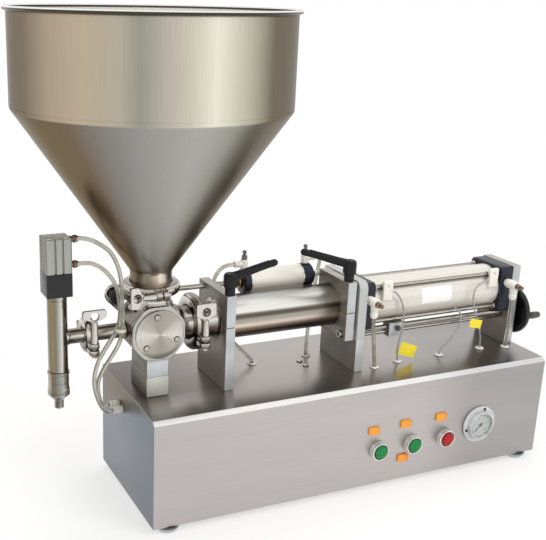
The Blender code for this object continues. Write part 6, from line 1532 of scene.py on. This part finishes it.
def makePlates():
    print("plates")
    for node, name in (("front_clamp_plate", "front_plate"), ("rear_clamp_plate", "rear_plate"),
                       ("cylinder_plate", "middle_plate"), ("end_plate", "last_plate")):
        dressNode(node, name, "machine", "platePale" if node == "cylinder_plate" else "plate", 0.5)
    # bolts in the face of the rear clamping plate, and spacers behind it
    z = plateBolts["z"]
    for number, y in enumerate(plateBolts["ys"]):
        head = socketHead(f"rear_plate_bolt_{number}", (plateBolts["faceX"], y, z), "X", -1, 6.2,
                          5.0)
        finishPiece(head, "polished", 0.2)
        # painted shade: a black hexagon deep in each socket stands for the shade inside it
        recess = hexagonPiece(f"rear_bolt_socket_shade_{number}", (y, z), 3.4, 329.0, 330.5, "X")
        finishPiece(recess, "blackSteel", 0)
    for number, y in enumerate(plateBolts["ys"]):
        turnedPart(f"plate_spacer_{number}", (0, y, z), "X", ringOutline((
            (348.1, 2.0), (348.1, 6.2), (352.9, 6.2), (352.9, 2.0))), 32, "white", 0.3)


# Each lever's stud, and the angle of its grip from the right
levers = {
    "lever_front": dict(x=141.75, y=71.0, angle=0.0),
    "lever_rear": dict(x=340.75, y=72.0, angle=150.0),
}
leverZ = 310.0


def makeLever(node):
    facts = levers[node]
    place = (facts["x"], facts["y"], leverZ)
    hub = turnedPiece(f"{node}_hub", place, "Z", (
        (0.3, 0), (0.3, 6.8), (0.8, 7.4), (8.0, 7.5), (11.5, 7.9), (12.2, 9.2), (13.2, 10.0),
        (28.5, 10.0), (31.2, 9.0), (32.6, 7.4), (33.0, 5.0), (32.2, 4.6), (32.2, 0)), 48)
    # tapered grip with a ridge along its top, drawn along X and swung round the stud
    profile = [(0, 0), (0, 7.2), (20, 6.3), (45, 5.3), (64, 4.9), (69, 5.5), (74.0, 4.6),
               (76.0, 2.4), (76.2, 0)]
    grip = turnedPiece(f"{node}_grip", (0, 0, 0), "X", profile, 32)
    ridge = cutPiece(f"{node}_ridge", ((8, -2.2), (64, -1.8), (64, 1.8), (8, 2.2)), 3.4, 6.2, "Z")
    turn = (Matrix.Translation(at(facts["x"], facts["y"], leverZ + 26.0))
            @ turnedBy(facts["angle"], "Z")
            @ Matrix.Rotation(-atan2(17.0, 75.0), 4, "Y") @ Matrix.Translation(-at(0, 0, 0)))
    for piece in (grip, ridge):
        piece.data.transform(turn)
        finishPiece(piece, "nylon", 0.5, 2, body=node)
    finishPiece(hub, "nylon", 0.2, nodes=(node,), body=node)
    turnedPart(f"{node}_stud", place, "Z", (
        (-57.9, 0), (-57.9, 3.4), (0.5, 3.6), (0.5, 0)), 24, "bright", 0.2, body=node)
    turnedPart(f"{node}_screw", place, "Z", (
        (31.5, 0), (31.5, 4.2), (32.6, 4.2), (32.8, 3.8), (32.8, 0)), 24,
        "darkChrome", 0.1, body=node)


# Drive cylinder

drive = dict(frontCap=(367.8, 393.0), tube=(393.3, 635.7), rearCap=(636.0, 659.7), cap=77.0,
             chamfer=5.0, tubeRadius=35.0, bore=31.5, rod=28.0, elbowZ=275.0)
elbows = {"front": 380.4, "rear": 647.85}
sensors = {"front": 405.0, "rear": 609.7}


def makeDriveCylinder():
    print("drive cylinder")
    half = drive["cap"] / 2
    inner = half - drive["chamfer"]
    corner = [(half, inner), (inner, half)]
    outline = []
    for c, s in ((1, 0), (0, 1), (-1, 0), (0, -1)):
        outline += [(axisY + a * c - b * s, valveZ + a * s + b * c) for a, b in corner]
    for side in ("front", "rear"):
        start, end = drive[side + "Cap"]
        cap = cutPiece(f"drive_{side}_casting", outline, start, end, "X")
        finishPiece(cap, "navy", 1.6, 4, nodes=(f"drive_{side}_cap",))
        for number, (y, z) in enumerate(((-1, -1), (-1, 1), (1, -1), (1, 1))):
            spot = (axisY + y * drive["rod"], valveZ + z * drive["rod"])
            face, way = (end, 1) if side == "front" else (start, -1)
            nut = hexagonPiece(f"tie_nut_{side}_{number}", spot, 6.2, *sorted(
                (face + way * 0.1, face + way * 4.6)), "X", 15.0)
            finishPiece(nut, "bright", 0.6)
    start, end = drive["tube"]
    radius, bore = drive["tubeRadius"], drive["bore"]
    turnedPart("drive_barrel", (0, axisY, valveZ), "X", ringOutline((
        (start, bore), (start, radius - 0.4), (start + 0.4, radius), (end - 0.4, radius),
        (end, radius - 0.4), (end, bore))), 128, "tube", 0, nodes=("drive_tube",))
    tie = turnedPiece("tie_rod_0", (0, axisY - drive["rod"], valveZ - drive["rod"]), "X", (
        (start, 0), (start, 3.5), (start + 18, 3.5), (start + 18.4, 3.2), (end - 18.4, 3.2),
        (end - 18, 3.5), (end, 3.5), (end, 0)), 32)
    rods = [tie]
    apart = 2 * drive["rod"]
    for number, move in enumerate(((0, 0, apart), (0, apart, 0), (0, apart, apart)), 1):
        rods.append(movedCopy(tie, f"tie_rod_{number}", move))
    for piece in rods:
        finishPiece(piece, "polished", 0)
    makeTubeLabel()


def makeTubeLabel():
    # bare label wrapped on the tube's front
    radius = drive["tubeRadius"] + 0.12
    arc = arcPoints((axisY, valveZ), radius, 149.0, 191.0, 16)
    arc += reversed(arcPoints((axisY, valveZ), radius - 0.3, 149.0, 191.0, 16))
    plate = cutPiece("tube_label_plate", arc, 484.0, 541.0, "X")
    finishPiece(plate, "labelPlate", 0)


def makeElbow(side, x):
    back, front = 73.2, 50.2
    z = drive["elbowZ"]
    turnedPart(f"elbow_body_{side}", (x, 0, z), "Y", (
        (back, 0), (back, 6.6), (back - 1.6, 6.6), (back - 2.0, 5.4), (back - 4.0, 5.4),
        (back - 4.4, 7.3), (back - 8.6, 7.5), (back - 9.4, 6.6), (back - 10.6, 6.6),
        (back - 11.4, 7.5), (back - 15.4, 7.5), (back - 16.2, 6.8), (back - 17.4, 6.8),
        (back - 18.0, 7.4), (back - 22.0, 7.2), (front, 6.2), (front, 2.1), (front + 7.0, 2.1),
        (front + 7.0, 0)), 48, "white", 0.1, nodes=(f"drive_elbow_{side}",))
    turnedPart(f"elbow_port_{side}", (x, 56.7, z), "Z", ringOutline((
        (-4.0, 3.1), (-4.0, 6.2), (-13.0, 6.0), (-14.0, 5.4), (-15.2, 5.4), (-15.8, 6.0),
        (-21.0, 6.0), (-23.0, 5.0), (-23.9, 4.6), (-23.9, 3.1))), 48, "white", 0.1)
    makeKnob(f"drive_knob_{side}", (x, 0, z), "Y", front, -1, "brownNickel")


def makeSensor(side, x):
    # moulded switch strapped to the upper front tie rod
    node = f"sensor_{side}"
    outline = [(73.4, 270.2), (75.0, 269.0), (82.4, 269.0), (84.0, 271.5), (84.0, 279.0),
               (76.0, 287.5), (79.5, 294.5), (79.5, 299.5), (78.0, 301.0), (75.2, 301.0),
               (73.4, 299.0)]
    block = cutPiece(f"{node}_case", outline, x + 2.0, x + 19.0, "X")
    finishPiece(block, "white", 0.7, nodes=(node,))
    for number, start in enumerate((x + 3.5, x + 14.5)):
        strap = [(axisY - drive["rod"] + 5.0 * cos(radians(t)),
                  valveZ + drive["rod"] + 5.0 * sin(radians(t))) for t in range(-20, 201, 20)]
        strap += [(78.8, 284.0), (80.0, 283.4)]
        strap += [(axisY - drive["rod"] + 3.9 * cos(radians(t)),
                   valveZ + drive["rod"] + 3.9 * sin(radians(t))) for t in range(180, -21, -20)]
        clip = cutPiece(f"{node}_clip_{number}", strap, start, start + 3.6, "X")
        finishPiece(clip, "chrome", 0.2)
    screw = panHead(f"{node}_screw", (x + 10.5, 73.4, 294.0), "Y", -1, 2.4, 1.3)
    finishPiece(screw, "chrome", 0)


# Adjusting gear: the screw, the handle's axle and the guide rod lie along X, each at its Y and Z

gear = dict(screw=(92.0, 219.0), handle=(58.05, 217.2), guide=(90.5, 211.6), seat=359.5,
            thread=(362.0, 655.0), pitch=2.0)


def makeAdjustingGear():
    print("adjusting gear")
    place = (0, *gear["screw"])
    seat, pitch = gear["seat"], gear["pitch"]
    start, end = gear["thread"]
    thread = [(seat, 0), (seat, 3.6)]
    thread += threadRidges(start, int((end - start) / pitch), pitch, pitch / 2, 3.55, 4.0)
    thread += [(656.0, 3.9), (679.5, 3.9), (679.5, 0)]
    turnedPart("screw_spindle", place, "X", thread, 24, "bright", 0, smooth=25.0, body="screw")
    turnedPart("handwheel", place, "X", (
        (675.3, 0), (675.3, 8.4), (675.9, 9.0), (681.0, 9.4), (682.2, 12.0), (682.6, 20.0),
        (682.4, 30.0), (681.6, 33.2), (680.0, 34.6), (679.3, 36.6), (680.2, 38.8), (682.2, 39.8),
        (684.4, 40.0), (686.4, 39.4), (687.9, 37.6), (688.3, 35.8), (687.4, 34.2),
        (686.0, 33.0), (685.4, 30.0), (685.4, 14.0), (686.6, 10.6), (688.4, 9.0),
        (689.3, 8.2), (689.3, 0)), 96,
        "blackSteel", 0.2, nodes=("adjusting_screw",), body="screw")
    turnedPart("handle_axle", (0, *gear["handle"]), "X", rodOutline(684.0, 708.9, 2.6), 24,
               "bright", 0, body="screw")
    turnedPart("handle_sleeve", (0, *gear["handle"]), "X", (
        (688.9, 2.9), (688.9, 4.6), (690.4, 5.2), (694.0, 5.9), (699.0, 6.0), (706.0, 5.6),
        (709.6, 4.8), (711.0, 3.4), (711.4, 1.6), (711.4, 0), (709.2, 0), (709.2, 2.9),
        (688.9, 2.9)), 48, "darkChrome", 0, nodes=("crank_handle",), body="handle")
    turnedPart("guide_shaft", (0, *gear["guide"]), "X", (
        (seat, 0), (seat, 2.5), (seat + 0.3, 2.7), (667.7, 2.7), (668.0, 2.5), (668.0, 0)), 32,
        "polished", 0, nodes=("guide_rod",))
    dressNode("slider_block", "slider_body", "slider", "plate", 0.8)
    turnedPart("slider_screw", (443.0, 80.0, 219.5), "Y", (
        (0, 0), (0, 3.4), (-1.2, 3.4), (-1.5, 4.4), (-4.6, 4.4), (-5.1, 3.9), (-5.1, 0)), 32,
        "darkChrome", 0.1, body="slider")


# Blank tags that hang on the sensor cables

tags = {
    "tag_front": dict(place=(457.0, 68.0, 184.5), width=31.0, height=20.0, tilt=20.0),
    "tag_rear": dict(place=(586.0, 66.0, 213.5), width=23.0, height=14.5, tilt=12.0),
}


def makeTags():
    print("tags")
    for name, facts in tags.items():
        x, y, z = facts["place"]
        width, height = facts["width"], facts["height"]
        outline = [(x - width / 2, z - height / 2), (x + width / 2, z - height / 2),
                   (x + width / 2, z + height / 2), (x - width / 2, z + height / 2)]
        tag = cutPiece(name, outline, y - 0.25, y + 0.25, "Y")
        bpy.ops.object.mode_set(mode="EDIT")
        bpy.ops.mesh.select_all(action="SELECT")
        bpy.ops.mesh.subdivide(number_cuts=7)
        bpy.ops.object.mode_set(mode="OBJECT")
        # the tag curls a little towards the front
        middle = at(x, y, z)
        for vertex in tag.data.vertices:
            across = (vertex.co.x - middle.x) / (width * mm)
            vertex.co.y -= (0.0035 * across * across + 0.001 * sin(across * 5.0))
        tag.data.transform(Matrix.Translation(middle) @ turnedBy(facts["tilt"], "Y")
                           @ Matrix.Translation(-middle))
        finishPiece(tag, "yellow", 0, smooth=50.0)


makeCabinet()
makeButtons()
makeLabels()
makeGauge()
makeTopDetails()
makePedestal()
makeValve()
print("clamps")
for key in clamps:
    makeClamp(key)
makeHopper()
makeNozzle()
makeCrank()
makeActuator()
for side in speedValves:
    makeSpeedValve(side)
makeBarrel()
makePlates()
print("levers")
for node in levers:
    makeLever(node)
makeDriveCylinder()
for side, x in elbows.items():
    makeElbow(side, x)
for side, x in sensors.items():
    makeSensor(side, x)
makeAdjustingGear()
makeTags()

# Inner pieces keep their solids and get their own finish
for node, look in (("product_piston", "ptfe"), ("piston_rod", "bright"),
                   ("nozzle_stem", "bright"), ("valve_rotor", "polished")):
    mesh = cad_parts[node].data
    mesh.materials.clear()
    mesh.materials.append(looks[look][0])


# Floor, light and background

def seenShare(look):
    # 1 for what the eye meets: straight, mirrored or through something clear
    path = addNode(look, "LightPath")
    seen = addNode(look, "Math", {"operation": "MAXIMUM", 0: path.outputs["Is Camera Ray"],
                                  1: path.outputs["Is Glossy Ray"]})
    return addNode(look, "Math", {"operation": "MAXIMUM", 0: seen,
                                  1: path.outputs["Is Transmission Ray"]})


def makeFloor():
    deselectAll()
    bpy.ops.mesh.primitive_circle_add(vertices=96, radius=6.0, fill_type="NGON",
                                      location=(0, 0, -0.0005))
    floor = bpy.context.object
    floor.name = "studio_floor"
    look, coords = newLook("white_paper_floor")
    # near the machine the paper shows its shadow, further out it fades into the background
    distance = addNode(look, "VectorMath", {"operation": "LENGTH", 0: coords.outputs["Object"]})
    far = addNode(look, "MapRange", {"Value": distance, "From Min": 0.4, "From Max": 0.7,
                                     "To Min": 0.55, "To Max": 1.0})
    share = addNode(look, "Math", {"operation": "MULTIPLY", 0: seenShare(look), 1: far})
    paper = addNode(look, "BsdfPrincipled", {"Base Color": "F4F3F1", "Roughness": 0.9})
    glow = addNode(look, "Emission", {"Color": "FFFFFF", "Strength": 1.0})
    mixed = addNode(look, "MixShader", {0: share, 1: paper, 2: glow})
    addNode(look, "OutputMaterial", {"Surface": mixed})
    floor.data.materials.append(look)


def makeWorld():
    world = bpy.data.worlds.new("studio_world")
    bpy.context.scene.world = world
    world.use_nodes = True
    world.node_tree.nodes.clear()
    strength = addNode(world, "MapRange", {"Value": seenShare(world), "To Min": 0.75})
    background = addNode(world, "Background", {"Color": "FFFFFF", "Strength": strength})
    addNode(world, "OutputWorld", {"Surface": background})


lampAim = Vector((0.05, 0, 0.25))
lamps = {
    "key_softbox": dict(place=(0.9, -1.9, 2.1), size=1.5, power=34.0),
    "fill_softbox": dict(place=(-2.2, -0.9, 1.3), size=1.6, power=14.0),
    "top_softbox": dict(place=(0.2, 0.6, 2.5), size=1.8, power=22.0),
}


def makeLamps():
    for name, facts in lamps.items():
        data = bpy.data.lights.new(name, "AREA")
        data.energy = facts["power"]
        data.size = facts["size"]
        lamp = bpy.data.objects.new(name, data)
        lamp.visible_glossy = False
        bpy.context.scene.collection.objects.link(lamp)
        lamp.location = facts["place"]
        aim = lampAim - Vector(facts["place"])
        lamp.rotation_euler = aim.to_track_quat("-Z", "Y").to_euler()


print("studio")
makeFloor()
makeWorld()
makeLamps()
deselectAll()
